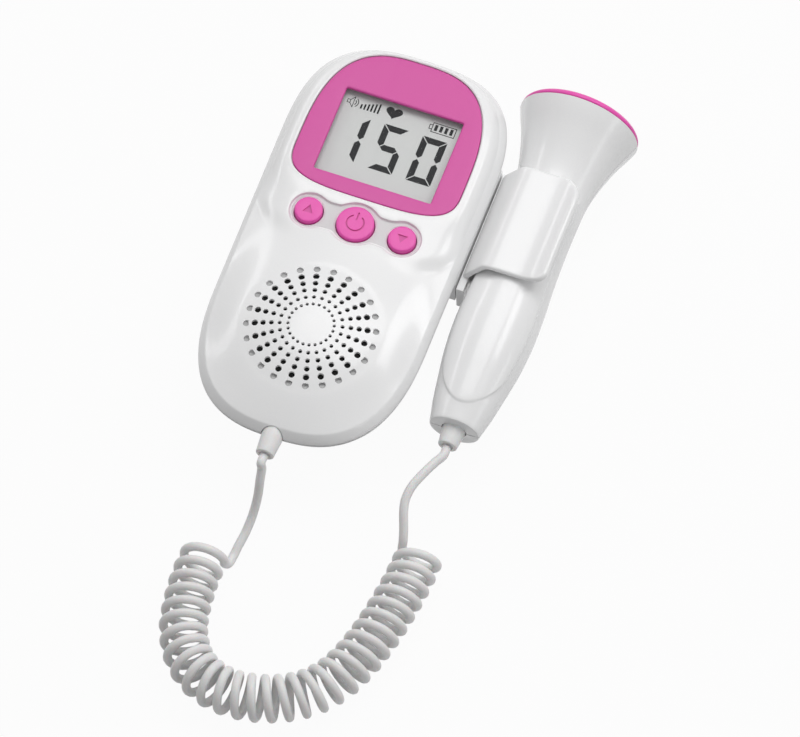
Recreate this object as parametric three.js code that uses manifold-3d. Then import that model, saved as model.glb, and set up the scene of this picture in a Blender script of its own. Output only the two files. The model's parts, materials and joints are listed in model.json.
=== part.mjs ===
// Pocket fetal doppler monitor: display unit, side holder, probe and curly cord.
// Millimetres, +Z up: the unit lies on its back, its screen end towards +Y, the probe on its +X side.
import * as THREE from 'three';
import { mergeVertices } from 'three/addons/utils/BufferGeometryUtils.js';
import Module from 'manifold-3d';

const wasm = await Module();
wasm.setup();

// Driving sizes shared by the whole product
const clearance = 0.3;
const overrun = 1;
const halfTurn = Math.PI;
const fullTurn = 2 * Math.PI;

// Display unit: outline at the parting line, a rectangle with two different rounded ends
const unitHalfWidth = 34.2;
const unitBottomEndLength = 45;
const unitBottomEndStart = -24;
const unitTopEndLength = 39;
const unitTopEndStart = 30;
const topRoundness = 2.95;
const bottomRoundness = 2.65;
const endPoints = 16;
const partingHeight = 24;
const partingGroove = 0.5;
const shellWall = 2;

// Front shell: drafted side wall, crowned lower face, flatter hood round the screen
const sideWallHeight = 3.7;
const sideWallDraft = 2.1;
const apexHeight = 35.5;
const grilleY = -34;
const crownRadiusAcross = 52;
const crownRadiusAlong = 94;
const crownFall = 4.2;
const hoodHeight = 31.5;
const hoodPitch = 0.012;
const hoodLowerEdgeY = -6.8;
const hoodEdgeSweep = 12;
const hoodEdgePower = 5;
const hoodBlendLength = 6;
const hoodRimWidth = 1;
const hoodPower = 2.4;
const crownEdgeLift = 0.8;
const shoulderWidth = 9;
const shoulderPower = 1.8;
const bisections = 24;
const frontWall = 2.4;
const crownRingShares = [0.98, 0.93, 0.86, 0.74, 0.45];
const innerRingShares = [0.95, 0.83, 0.5];

// Rear shell: boat-shaped hull down to a flat back, rows of depth, side inset, end inset
const hullDepths = [0, 1.2, 2.6, 22.4, 24];
const hullSideInsets = [0, 0.25, 0.7, 6.2, 8.2];
const hullEndInsets = [0, 0.35, 1.3, 13.2, 15.2];

// Screen
const bezelHalfWidth = 27;
const bezelMiddleY = 27;
const bezelTopMargin = 4.7;
const bezelBottomLength = 13;
const bezelTopRoundness = 2.95;
const bezelBottomRoundness = 3.6;
const bezelRecess = 0.2;
const bezelThickness = 1;
const bezelPocketDepth = 1.5;
const windowWidth = 38;
const windowHeight = 29.8;
const windowTopMargin = 34.7;
const lensMargin = 1;
const lensBottom = 29;
const lensThickness = 0.8;
const panelWidth = 41;
const panelHeight = 32;
const panelTop = 28;
const panelThickness = 1.3;
const backlightThickness = 1.4;
const frameWall = 1.3;
const frameTop = 27.9;

// Buttons
const buttonY = 4.7;
const buttonSpacing = 15.15;
const sideButtonRadius = 4.35;
const powerButtonRadius = 5.85;
const sideButtonTop = 32.2;
const powerButtonTop = 32.6;
const buttonEdge = 0.4;
const buttonFlange = 0.8;
const buttonFlangeTop = 28;
const buttonFlangeThickness = 0.9;
const buttonStemRadius = 1.6;
const buttonTravel = 0.9;
const recessDepth = 1.3;
const recessMargin = 1.7;
const recessNeckHalfHeight = 4.9;
const symbolDepth = 0.4;
const triangleSizeShare = 1 / 3;
const triangleFootShare = 0.7;
const powerSizeShare = 0.5;
const powerRingInnerShare = 0.78;
const powerGapShare = 1 / 3;
const powerBarHalfShare = 1 / 9;
const powerBarFootShare = 0.25;
const powerBarTipShare = 1.2;
const switchSize = 6;
const switchHeight = 2.8;
const plungerHeight = 1.2;
const plungerEntry = 0.4;

// Speaker and its grille
const grilleOuterRadius = 19.8;
const grilleRingShares = [0.3578, 0.4859, 0.6141, 0.7415, 0.8695];
const grilleHoleRadii = [0.45, 0.55, 0.65, 0.76, 0.9];
const grilleHoleSides = [4, 4, 5, 5, 5];
const grilleRays = 24;
const dimpleRadius = 1;
const dimpleDepth = 0.7;
const grilleWeb = 1;
const clothThickness = 0.3;
const grillePocketRadius = 19.3;
const seatRingInnerRadius = 19.6;
const seatRingWall = 1.6;
const seatRingBottom = 28.6;
const speakerRimWidth = 3.2;
const speakerRimHeight = 1.2;
const speakerDepth = 5.7;
const speakerFloor = 1.2;
const basketFloorRadius = 11;
const coneApexRadius = 5;
const coneThickness = 0.6;
const magnetRadius = 10;
const magnetHeight = 3.2;

// Battery bay, cells and cover
const cellRadius = 7.1;
const cellLength = 49.2;
const cellNubRadius = 2.7;
const cellNubLength = 1.1;
const cellGap = 0.5;
const contactThickness = 0.5;
const springLength = 4.2;
const springRadius = 3.2;
const bayWall = 1.5;
const bayStartY = -24;
const coverHalfWidth = 18.5;
const coverStartY = -29;
const coverThickness = 1.7;
const coverSeatThickness = 1.6;
const coverSeatMargin = 3;
const railWidth = 0.9;
const railThickness = 0.6;
const coverGripRadius = 5;
const coverGripDepth = 0.7;

// Boards and screws
const boardThickness = 1.6;
const boardHalfWidth = 24.5;
const boardStartY = -9;
const boardTopMargin = 17.5;
const screwShankRadius = 1.1;
const screwHoleRadius = 1.4;
const screwHeadRadius = 2.3;
const screwHeadHeight = 1.6;
const bossRadius = 3.1;
const bottomScrewX = 16;
const bottomScrewY = -56;
const topScrewX = 12;
const topScrewInset = 9.8;
const caseScrewSeat = 16;
const caseScrewLength = 12;

// Side holder: one bent strip seen from the end, with a web against the unit
const holderThickness = 2.2;
const holderWebX = 35.7;
const holderWebBottom = 11;
const holderWebTop = 21.5;
const holderWebStartY = -0.8;
const holderWebEndY = 41.6;
const hookDepth = 2.4;
const strapRiseX = 41.9;
const strapRiseHeight = 31.4;
const strapHeight = 32.1;
const strapBendX = 53.6;
const lipMiddle = [57.2, 32.8];
const lipX = 60.8;
const lipHeight = 34.8;
const strapStartY = 3.8;
const strapEndY = 40.9;
const strapTopCorner = 8;
const strapBottomCorner = 3;
const legX = 57;
const legTurnX = 41.5;
const legHeight = 7.1;
const legStartY = 9;
const legEndY = 33;
const holderPadBottom = 14;
const holderPadTop = 23.4;
const holderPadDepth = 4.9;
const holderScrewYs = [7, 35];
const holderScrewLength = 5.9;

// Probe: radius along its axis from the cord end
const probeX = 50.3;
const probeZ = 19.3;
const probeStartY = -45.7;
const probeStations = [0, 2, 7, 15, 25, 35.5, 47, 56, 68, 77, 86, 94, 103, 109, 111.4];
const probeRadii = [8, 8.4, 9.5, 10.8, 12.2, 12.8, 12.5, 11.9, 11.5, 11.5, 11.8, 13.2, 15.8, 18.2, 19.1];
const probeFlatShare = 0.88;
const probeRoundFrom = 84;
const probeFacets = 24;
const probeWall = 2;
const probeSplit = 0.3;
const gripInset = 1.5;
const gripRise = 0.5;
const gripStart = 6;
const gripEnd = 84;
const gripRoundLength = 13;
const gripRoundShares = [0.15, 0.4, 0.7, 1];
const capRadius = 19;
const capRim = 1.5;
const capDome = 1.3;
const capRadiusShares = [0.8, 0.4];
const capRiseShares = [0.6, 0.95];
const capPlugRadius = 15.4;
const capPlugDepth = 4;
const crystalRadius = 7;
const crystalThickness = 1;
const crystalSplit = 0.8;
const backingRadius = 9;
const backingLength = 7;
const probeBoardHalfWidth = 8.6;
const probeBoardStart = 30;
const probeBoardThickness = 1.2;
const probePostRadius = 2.8;
const probePostStations = [41, 80];
const probeScrewSeat = 11.5;
const probeScrewLength = 12.5;

// Cord, its glands and its coil
const cordDiameter = 2.8;
const unitGlandLength = 6.4;
const unitGlandRadius = 3.4;
const unitGlandTipRadius = 2.9;
const probeGlandLength = 6;
const probeGlandRadius = 3.7;
const probeGlandTipRadius = 3;
const glandFlangeRadius = 4.6;
const glandFlangeThickness = 1.4;
const glandGrooveDepth = 8;
const coilRadius = 6.2;
const coilTurns = 30;
const coilStepsPerTurn = 8;
const coilSides = 5;
const coilAxisHeight = 7.7;
const coilStartPhase = -0.3;
const leadSides = 8;
const leadSteps = 14;

// Cord routes in the unit's frame: chosen points along the photographed cord
const coilAxisPoints = [
  [-8.2, -105.2], [-8.5, -110.6], [-8.4, -116], [-7.9, -121], [-7.1, -126.2], [-5.8, -131.4], [-3.5, -136.3],
  [-0.5, -140.5], [3.5, -143.9], [8.4, -146.2], [14.8, -147.3], [21.6, -146.7], [29.7, -144.2], [37.2, -139.6],
  [43, -132.9], [46.7, -125.1], [49.1, -116.9], [51, -107.4], [52.4, -96.9], [53, -89], [53.1, -83.2],
];
const coilEntryPoints = [[-0.8, -97.3, 3.2], [-1.2, -100.4, 2.2], [-1.6, -103.6, 2.6]];
const coilExitPoints = [[47, -81.9, 9.5], [46.5, -80, 11.6], [45.7, -77.7, 13.5]];
const unitLeadPoints = [
  [0.4, -78.9, 22.4], [0.7, -81.6, 18.6], [0.9, -84.4, 13.4], [0.6, -88.2, 8.2], [0, -92.8, 4.9],
];
const probeLeadPoints = [
  [44.9, -75.5, 15.2], [44.2, -72.2, 16.8], [44.6, -68.2, 18.1], [46.4, -63.2, 18.9], [48.6, -58.2, 19.2],
];

// Materials, one for each finish
function finish(color, roughness, metalness = 0) {
  return new THREE.MeshStandardMaterial({ color, roughness, metalness });
}
const whiteGloss = finish(0xf1f1f1, 0.25);
const pinkPlastic = finish(0xe35fb0, 0.4);
const pinkPlate = finish(0xd45da4, 0.45);
const clearLens = finish(0xdfe4e4, 0.05);
const displayGrey = finish(0xc8cbc9, 0.4);
const blackPlastic = finish(0x1d1d1f, 0.6);
const boardGreen = finish(0x1f6a3a, 0.5);
const steel = finish(0xb9bcc0, 0.3, 1);
const cellSleeve = finish(0x3b4a57, 0.4);
const ceramic = finish(0xd8cfa8, 0.5);
const softWhite = finish(0xe4e4e4, 0.5);

const pieces = new THREE.Group();

// Places that follow from the outlines
const unitBottomY = unitBottomEndStart - unitBottomEndLength;
const unitTopY = unitTopEndStart + unitTopEndLength;
const topScrewY = unitTopY - topScrewInset;
const bezelTopLength = unitTopY - bezelTopMargin - bezelMiddleY;
const windowY = unitTopY - windowTopMargin;
const boardEndY = unitTopY - boardTopMargin;
const creaseHeight = partingHeight + sideWallHeight;

// Solids: closed geometry becomes a manifold, cuts are made, and the result becomes a mesh
function solidOf(geometry) {
  const bare = geometry.clone();
  bare.deleteAttribute('normal');
  bare.deleteAttribute('uv');
  const merged = mergeVertices(bare, 1e-4);
  return new wasm.Manifold(new wasm.Mesh({
    numProp: 3,
    vertProperties: new Float32Array(merged.attributes.position.array),
    triVerts: new Uint32Array(merged.index.array),
  }));
}

function geometryOf(manifold) {
  const mesh = manifold.getMesh();
  const geometry = new THREE.BufferGeometry();
  geometry.setAttribute('position', new THREE.BufferAttribute(mesh.vertProperties, 3));
  geometry.setIndex(new THREE.BufferAttribute(mesh.triVerts, 1));
  geometry.computeVertexNormals();
  return geometry;
}

function addPiece(name, solid, material) {
  const geometry = solid instanceof THREE.BufferGeometry ? solid : geometryOf(solid);
  const mesh = new THREE.Mesh(geometry, material);
  mesh.name = name;
  pieces.add(mesh);
  return mesh;
}

// Basic shapes, each placed where it belongs
function box(x0, x1, y0, y1, z0, z1) {
  const geometry = new THREE.BoxGeometry(x1 - x0, y1 - y0, z1 - z0);
  return solidOf(geometry.translate((x0 + x1) / 2, (y0 + y1) / 2, (z0 + z1) / 2));
}

function post(x, y, z0, z1, radius, sides = 16) {
  const geometry = new THREE.CylinderGeometry(radius, radius, z1 - z0, sides);
  return solidOf(geometry.rotateX(halfTurn / 2).translate(x, y, (z0 + z1) / 2));
}

function rodAlongX(x0, x1, y, z, radius, sides = 12) {
  const geometry = new THREE.CylinderGeometry(radius, radius, x1 - x0, sides);
  return solidOf(geometry.rotateZ(halfTurn / 2).translate((x0 + x1) / 2, y, z));
}

function rodAlongY(x, y0, y1, z, radius, sides = 16) {
  const geometry = new THREE.CylinderGeometry(radius, radius, y1 - y0, sides);
  return solidOf(geometry.translate(x, (y0 + y1) / 2, z));
}

function latheAlongZ(profile, x, y, sides = 24) {
  const points = profile.map(([radius, height]) => new THREE.Vector2(radius, height));
  return solidOf(new THREE.LatheGeometry(points, sides).rotateX(halfTurn / 2).translate(x, y, 0));
}

function latheAlongY(profile, x, z, sides = 24) {
  const points = profile.map(([radius, height]) => new THREE.Vector2(radius, height));
  return solidOf(new THREE.LatheGeometry(points, sides).translate(x, 0, z));
}

function prism(points, z0, z1) {
  const shape = new THREE.Shape(points.map(([x, y]) => new THREE.Vector2(x, y)));
  const geometry = new THREE.ExtrudeGeometry(shape, { depth: z1 - z0, bevelEnabled: false, curveSegments: 1 });
  return solidOf(geometry.translate(0, 0, z0));
}

// A closed loft through rings of equal point counts, each end closed by a fan from its middle
function loft(rings) {
  const count = rings[0].length;
  const positions = rings.flat(2);
  const meanOf = (ring, axis) => ring.reduce((sum, point) => sum + point[axis], 0) / count;
  const middle = (ring) => [0, 1, 2].map((axis) => meanOf(ring, axis));
  positions.push(...middle(rings[0]), ...middle(rings[rings.length - 1]));
  const firstMiddle = rings.length * count;
  const index = [];
  for (let i = 0; i < count; i += 1) {
    const next = (i + 1) % count;
    index.push(firstMiddle, next, i);
    const top = (rings.length - 1) * count;
    index.push(firstMiddle + 1, top + i, top + next);
    for (let ring = 0; ring + 1 < rings.length; ring += 1) {
      const low = ring * count;
      const high = low + count;
      index.push(low + i, low + next, high + next, low + i, high + next, high + i);
    }
  }
  const geometry = new THREE.BufferGeometry();
  geometry.setAttribute('position', new THREE.Float32BufferAttribute(positions, 3));
  geometry.setIndex(index);
  return geometry;
}

const union = (solids) => solids.reduce((sum, solid) => sum.add(solid));
const mirrored = (values) => [-1, 1].flatMap((side) => values.map(([x, y]) => [side * x, y]));

// Unit outline, anticlockwise, with its sides and its ends moved inwards by an inset
function roundedEnd(halfWidth, length, start, roundness, direction) {
  return Array.from({ length: endPoints + 1 }, (_, i) => {
    const angle = (halfTurn * i) / endPoints;
    const across = Math.sign(Math.cos(angle)) * Math.abs(Math.cos(angle)) ** (2 / roundness);
    const along = Math.abs(Math.sin(angle)) ** (2 / roundness);
    return [direction * halfWidth * across, start + direction * length * along];
  });
}

function unitOutline(sideInset, endInset) {
  const halfWidth = unitHalfWidth - sideInset;
  return [
    ...roundedEnd(halfWidth, unitTopEndLength - endInset, unitTopEndStart, topRoundness, 1),
    ...roundedEnd(halfWidth, unitBottomEndLength - endInset, unitBottomEndStart, bottomRoundness, -1),
  ];
}

// A rounded outline's value at a point: 1 on the outline, less inside it
const unitShape = (inset) => ({
  halfWidth: unitHalfWidth - inset,
  top: [unitTopEndStart, unitTopEndLength - inset, topRoundness],
  bottom: [unitBottomEndStart, unitBottomEndLength - inset, bottomRoundness],
});
const bezelShape = (margin) => ({
  halfWidth: bezelHalfWidth + margin,
  top: [bezelMiddleY, bezelTopLength + margin, bezelTopRoundness],
  bottom: [bezelMiddleY, bezelBottomLength + margin, bezelBottomRoundness],
});

function shapeValue(x, y, { halfWidth, top, bottom }) {
  const [start, length, roundness] = y > top[0] ? top : bottom;
  const beyond = y > top[0] ? y - start : Math.max(start - y, 0);
  return (Math.abs(x) / halfWidth) ** roundness + (beyond / length) ** roundness;
}

// How far a ray from a middle through a point goes to an outline, in lengths of middle to point
function reachTo(x, y, middleY, shape) {
  let low = 0;
  let high = unitBottomEndLength;
  for (let i = 0; i < bisections; i += 1) {
    const reach = (low + high) / 2;
    if (shapeValue(x * reach, middleY + (y - middleY) * reach, shape) < 1) low = reach;
    else high = reach;
  }
  return (low + high) / 2;
}

// Height of the front face: the crowned lower face, and the flat hood that rises round the screen,
// both rolled down to the crease over the side wall
function faceHeight(x, y) {
  const fall = (y - grilleY) ** 2 / (2 * crownRadiusAlong);
  const sink = crownFall * (1 - Math.exp(-fall / crownFall));
  const crownLift = apexHeight - x ** 2 / (2 * crownRadiusAcross) - sink - creaseHeight;
  const hoodLift = hoodHeight + hoodPitch * (windowY - y) - creaseHeight;
  const lowerEdge = hoodLowerEdgeY + hoodEdgeSweep * (Math.abs(x) / unitHalfWidth) ** hoodEdgePower;
  const share = THREE.MathUtils.smoothstep(y, lowerEdge, lowerEdge + hoodBlendLength);
  const crease = unitShape(sideWallDraft);
  const inwards = 1 - 1 / Math.max(reachTo(x, y, 0, crease), 1);
  const roll = Math.min((inwards * unitHalfWidth) / shoulderWidth, 1);
  const softCrown = (crownLift + Math.hypot(crownLift, 2 * crownEdgeLift)) / 2;
  const crown = softCrown * (1 - (1 - roll) ** shoulderPower);
  const toCrease = Math.max(reachTo(x, y, bezelMiddleY, crease), 1);
  const toRim = Math.min(reachTo(x, y, bezelMiddleY, bezelShape(hoodRimWidth)), 1);
  const outwards = toCrease > toRim ? (1 - toRim) / (toCrease - toRim) : 1;
  const hood = hoodLift * (1 - outwards ** hoodPower);
  return creaseHeight + Math.max(crown, crown + (hood - crown) * share);
}

// The solid under the front face, inset all round and lowered by a drop
function dome(inset, drop, bottom, ringShares = crownRingShares) {
  const rings = [];
  const flat = (outline, height) => outline.map(([x, y]) => [x, y, height]);
  const foot = Math.min(bottom, partingHeight);
  rings.push(flat(unitOutline(inset, inset), foot));
  const crease = unitOutline(inset + sideWallDraft, inset + sideWallDraft);
  rings.push(flat(crease, creaseHeight - drop));
  for (const share of ringShares) {
    rings.push(crease.map(([x, y]) => [x * share, y * share, faceHeight(x * share, y * share) - drop]));
  }
  return solidOf(loft(rings));
}

function hull(inset, bottom) {
  const rings = hullDepths.map((depth, i) => {
    const height = Math.max(partingHeight - depth, bottom);
    return unitOutline(hullSideInsets[i] + inset, hullEndInsets[i] + inset).map(([x, y]) => [x, y, height]);
  });
  return solidOf(loft(rings.reverse()));
}

function bezelOutline(margin) {
  const half = bezelHalfWidth + margin;
  return [
    ...roundedEnd(half, bezelTopLength + margin, bezelMiddleY, bezelTopRoundness, 1),
    ...roundedEnd(half, bezelBottomLength + margin, bezelMiddleY, bezelBottomRoundness, -1),
  ];
}

function windowBox(margin, z0, z1, width = windowWidth, height = windowHeight) {
  const halfWidth = width / 2 + margin;
  const halfHeight = height / 2 + margin;
  return box(-halfWidth, halfWidth, windowY - halfHeight, windowY + halfHeight, z0, z1);
}

const buttons = [
  { name: 'volume_up', x: -buttonSpacing, radius: sideButtonRadius, top: sideButtonTop },
  { name: 'power', x: 0, radius: powerButtonRadius, top: powerButtonTop },
  { name: 'volume_down', x: buttonSpacing, radius: sideButtonRadius, top: sideButtonTop },
];
const caseScrews = mirrored([[bottomScrewX, bottomScrewY], [topScrewX, topScrewY]]);
const holderScrewRow = (holderWebBottom + holderPadTop) / 2;
const aboveAll = apexHeight + overrun;
const belowAll = -overrun;

// Everything between two heights, wider than the unit
function slab(z0, z1) {
  return box(-unitHalfWidth * 2, unitHalfWidth * 2, -unitHalfWidth * 3, unitHalfWidth * 3, z0, z1);
}

// The gland's way through the end wall: a bore and a wider slot for its flange
function glandCuts() {
  const seatY = unitBottomY + glandGrooveDepth;
  const flangeEnd = seatY + glandFlangeThickness + 2 * clearance;
  return [
    rodAlongY(0, unitBottomY - overrun, seatY, partingHeight, unitGlandRadius + clearance),
    rodAlongY(0, seatY - overrun, flangeEnd, partingHeight, glandFlangeRadius + clearance),
  ];
}

// Ring of a speaker seat, cut to the case later
function tubeSection(inner, outer, z0, z1) {
  return post(0, grilleY, z0, z1, outer, 24).subtract(post(0, grilleY, z0 - overrun, z1 + overrun, inner, 24));
}

function frontShell() {
  const outer = dome(0, 0, partingHeight);
  const base = slab(belowAll, partingHeight + partingGroove / 2);
  let shell = outer.subtract(dome(shellWall, frontWall, partingHeight - overrun, innerRingShares));
  const surround = dome(0, grilleWeb + clearance, partingHeight);
  const seat = tubeSection(seatRingInnerRadius, seatRingInnerRadius + seatRingWall, seatRingBottom, aboveAll);
  const bosses = caseScrews.map(([x, y]) => post(x, y, 0, aboveAll, bossRadius, 12));
  shell = shell.add(union([seat, ...bosses]).intersect(surround));
  const cuts = [base];
  cuts.push(post(0, grilleY, 0, aboveAll, grillePocketRadius, 24).intersect(dome(0, grilleWeb, 0)));
  cuts.push(prism(bezelOutline(clearance), 0, aboveAll).subtract(dome(0, bezelPocketDepth, 0)));
  cuts.push(windowBox(lensMargin + clearance, partingHeight, aboveAll));
  const recess = buttons.map(({ x, radius }) => post(x, buttonY, 0, aboveAll, radius + recessMargin, 24));
  const neckFoot = buttonY - recessNeckHalfHeight;
  const neckHead = buttonY + recessNeckHalfHeight;
  recess.push(box(-buttonSpacing, buttonSpacing, neckFoot, neckHead, 0, aboveAll));
  cuts.push(union(recess).subtract(dome(0, recessDepth, 0)));
  buttons.forEach(({ x, radius }) => {
    cuts.push(post(x, buttonY, partingHeight, aboveAll, radius + clearance, 20));
  });
  caseScrews.forEach(([x, y]) => {
    const top = caseScrewSeat + caseScrewLength + overrun;
    cuts.push(post(x, y, 0, top, screwHoleRadius, 8));
  });
  for (let ray = 0; ray < grilleRays; ray += 1) {
    const angle = (fullTurn * ray) / grilleRays;
    const place = (radius) => [radius * Math.sin(angle), grilleY + radius * Math.cos(angle)];
    grilleRingShares.forEach((share, ring) => {
      const [x, y] = place(share * grilleOuterRadius);
      cuts.push(post(x, y, partingHeight, aboveAll, grilleHoleRadii[ring], grilleHoleSides[ring]));
    });
    const [x, y] = place(grilleOuterRadius);
    cuts.push(post(x, y, faceHeight(x, y) - dimpleDepth, aboveAll, dimpleRadius, 5));
  }
  cuts.push(...glandCuts());
  return shell.subtract(union(cuts));
}

const bayHalfWidth = 2 * cellRadius + cellGap / 2 + clearance;
const bayLength = 2 * contactThickness + springLength + cellNubLength + cellLength + 4 * clearance;
const bayEndY = bayStartY + bayLength;
const cellAxisZ = coverThickness + 2 * clearance + cellRadius;
const bayTop = cellAxisZ + cellRadius + clearance;
const boardBottom = bayTop + bayWall + clearance;
const boardTop = boardBottom + boardThickness;
const railBottom = (coverThickness - railThickness) / 2;
const railTop = (coverThickness + railThickness) / 2;
const coverSeatTop = coverThickness + clearance + coverSeatThickness;

function rearShell() {
  const outer = hull(0, 0);
  const lid = slab(partingHeight - partingGroove / 2, aboveAll);
  let shell = outer.subtract(hull(shellWall, shellWall));
  const trayHalf = bayHalfWidth + bayWall;
  const tray = box(-trayHalf, trayHalf, bayStartY - bayWall, bayEndY + bayWall, 0, bayTop + bayWall);
  const seatHalf = coverHalfWidth + coverSeatMargin;
  const seat = box(-seatHalf, seatHalf, coverStartY - coverSeatMargin, unitTopY, 0, coverSeatTop);
  const bosses = caseScrews.map(([x, y]) => post(x, y, 0, partingHeight, bossRadius, 12));
  const padX = unitHalfWidth - holderPadDepth;
  const pad = box(padX, unitHalfWidth, holderWebStartY, holderWebEndY, holderPadBottom, holderPadTop);
  shell = shell.add(union([tray, seat, ...bosses]).intersect(outer)).add(pad);
  const cuts = [lid];
  cuts.push(box(-bayHalfWidth, bayHalfWidth, bayStartY, bayEndY, belowAll, bayTop));
  const coverTop = coverThickness + clearance;
  const farY = unitTopY + overrun;
  const half = coverHalfWidth + clearance;
  cuts.push(box(-half, half, coverStartY - clearance, farY, belowAll, coverTop));
  const railHalf = half + railWidth;
  const grooveTop = railTop + clearance;
  cuts.push(box(-railHalf, railHalf, coverStartY - clearance, farY, railBottom - clearance, grooveTop));
  caseScrews.forEach(([x, y]) => {
    cuts.push(post(x, y, belowAll, caseScrewSeat, screwHeadRadius + clearance, 12));
    cuts.push(post(x, y, 0, partingHeight + overrun, screwHoleRadius, 8));
  });
  holderScrewYs.forEach((y) => {
    cuts.push(rodAlongX(padX - overrun, unitHalfWidth + overrun, y, holderScrewRow, screwHoleRadius, 8));
  });
  cuts.push(...glandCuts());
  return shell.subtract(union(cuts));
}

function batteryCover() {
  const half = coverHalfWidth;
  const plate = box(-half, half, coverStartY, unitTopY, belowAll, coverThickness);
  const railHalf = half + railWidth - clearance;
  const rails = box(-railHalf, railHalf, coverStartY + coverSeatMargin, bayEndY, railBottom, railTop);
  const grip = post(0, bayStartY + coverGripRadius, belowAll, coverGripDepth, coverGripRadius, 20);
  return plate.add(rails).intersect(hull(0, 0)).subtract(grip);
}

function screw(x, y, seat, length) {
  const headTop = seat - clearance;
  return post(x, y, headTop - screwHeadHeight, headTop, screwHeadRadius, 12)
    .add(post(x, y, headTop - screwHeadHeight / 2, headTop + length, screwShankRadius, 8));
}

addPiece('front_shell', frontShell(), whiteGloss);
addPiece('rear_shell', rearShell(), whiteGloss);
addPiece('battery_cover', batteryCover(), whiteGloss);
caseScrews.forEach(([x, y], i) => {
  addPiece(`case_screw_${i + 1}`, screw(x, y, caseScrewSeat, caseScrewLength), steel);
});

// Screen stack
const bezel = prism(bezelOutline(0), 0, aboveAll)
  .intersect(dome(0, bezelRecess, 0))
  .subtract(dome(0, bezelRecess + bezelThickness, 0))
  .subtract(windowBox(0, 0, aboveAll));
addPiece('screen_bezel', bezel, pinkPlate);
addPiece('screen_window', windowBox(lensMargin, lensBottom, lensBottom + lensThickness), clearLens);
const panelBottom = panelTop - panelThickness;
const backlightTop = panelBottom - clearance;
const backlightBottom = backlightTop - backlightThickness;
addPiece('lcd_panel', windowBox(0, panelBottom, panelTop, panelWidth, panelHeight), displayGrey);
addPiece('lcd_backlight', windowBox(0, backlightBottom, backlightTop, panelWidth, panelHeight), softWhite);
const frameFloor = backlightBottom - clearance;
const lcdFrame = windowBox(clearance + frameWall, boardTop + clearance, frameTop, panelWidth, panelHeight)
  .subtract(windowBox(clearance, frameFloor, aboveAll, panelWidth, panelHeight))
  .subtract(windowBox(-frameWall, 0, frameFloor - frameWall, panelWidth, panelHeight));
addPiece('lcd_frame', lcdFrame, softWhite);
const board = box(-boardHalfWidth, boardHalfWidth, boardStartY, boardEndY, boardBottom, boardTop);
addPiece('main_board', board, boardGreen);

// Buttons, their plungers and their switches
function powerSymbol(x, y, size, z0, z1) {
  const hole = post(x, y, z0 - overrun, z1 + overrun, size * powerRingInnerShare, 16);
  const ring = post(x, y, z0, z1, size, 16).subtract(hole);
  const gapHalf = size * powerGapShare;
  const barHalf = size * powerBarHalfShare;
  const gap = box(x - gapHalf, x + gapHalf, y, y + size * 2, z0 - overrun, z1 + overrun);
  const bar = box(x - barHalf, x + barHalf, y + size * powerBarFootShare, y + size * powerBarTipShare, z0, z1);
  return ring.subtract(gap).add(bar);
}

function triangleSymbol(x, y, size, direction, z0, z1) {
  const tip = [x, y + direction * size];
  const footY = y - direction * size * triangleFootShare;
  const feet = [[x - size, footY], [x + size, footY]];
  const corners = direction > 0 ? [feet[0], feet[1], tip] : [feet[1], feet[0], tip];
  return prism(corners, z0, z1);
}

const switchBottom = boardTop + clearance;
const switchTop = switchBottom + switchHeight;
const plungerBottom = switchTop - plungerEntry;
const stemBottom = plungerBottom + plungerHeight + clearance;
buttons.forEach(({ name, x, radius, top }) => {
  const flangeBottom = buttonFlangeTop - buttonFlangeThickness;
  const cap = latheAlongZ([
    [0, stemBottom], [buttonStemRadius, stemBottom], [buttonStemRadius, flangeBottom],
    [radius + buttonFlange, flangeBottom], [radius + buttonFlange, buttonFlangeTop], [radius, buttonFlangeTop],
    [radius, top - buttonEdge], [radius - buttonEdge, top], [0, top],
  ], x, buttonY, 20);
  const floor = top - symbolDepth;
  const symbols = {
    volume_up: () => triangleSymbol(x, buttonY, radius * triangleSizeShare, 1, floor, top + overrun),
    power: () => powerSymbol(x, buttonY, radius * powerSizeShare, floor, top + overrun),
    volume_down: () => triangleSymbol(x, buttonY, radius * triangleSizeShare, -1, floor, top + overrun),
  };
  addPiece(`${name}_button`, cap.subtract(symbols[name]()), pinkPlastic);
  const plunger = post(x, buttonY, plungerBottom, plungerBottom + plungerHeight, buttonStemRadius, 12);
  addPiece(`${name}_plunger`, plunger, blackPlastic);
  const half = switchSize / 2;
  const wellBottom = plungerBottom - buttonTravel - clearance;
  const well = post(x, buttonY, wellBottom, aboveAll, buttonStemRadius + clearance, 12);
  const body = box(x - half, x + half, buttonY - half, buttonY + half, switchBottom, switchTop);
  addPiece(`${name}_switch`, body.subtract(well), steel);
});

// Speaker behind the grille
const speakerTop = seatRingBottom - clearance;
const speakerRadius = seatRingInnerRadius + seatRingWall / 2;
const rimInner = speakerRadius - speakerRimWidth;
const basketBottom = speakerTop - speakerDepth;
const basketFloorTop = basketBottom + speakerFloor;
const speakerRimBottom = speakerTop - speakerRimHeight;
addPiece('speaker_frame', latheAlongZ([
  [0, basketBottom], [basketFloorRadius, basketBottom], [rimInner + speakerRimHeight, speakerRimBottom],
  [speakerRadius, speakerRimBottom], [speakerRadius, speakerTop], [rimInner, speakerTop],
  [rimInner, speakerRimBottom], [coneApexRadius, basketFloorTop], [0, basketFloorTop],
], 0, grilleY, 20), blackPlastic);
const coneBottom = basketFloorTop + clearance;
const coneRim = speakerTop - speakerRimHeight / 2;
const coneInner = coneApexRadius - clearance;
const coneOuter = rimInner - clearance;
addPiece('speaker_cone', latheAlongZ([
  [0, coneBottom], [coneInner, coneBottom], [coneOuter, coneRim - coneThickness / 2],
  [coneOuter, coneRim + coneThickness / 2], [coneInner, coneBottom + coneThickness],
  [0, coneBottom + coneThickness],
], 0, grilleY, 20), softWhite);
const magnetTop = basketBottom - clearance;
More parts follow.
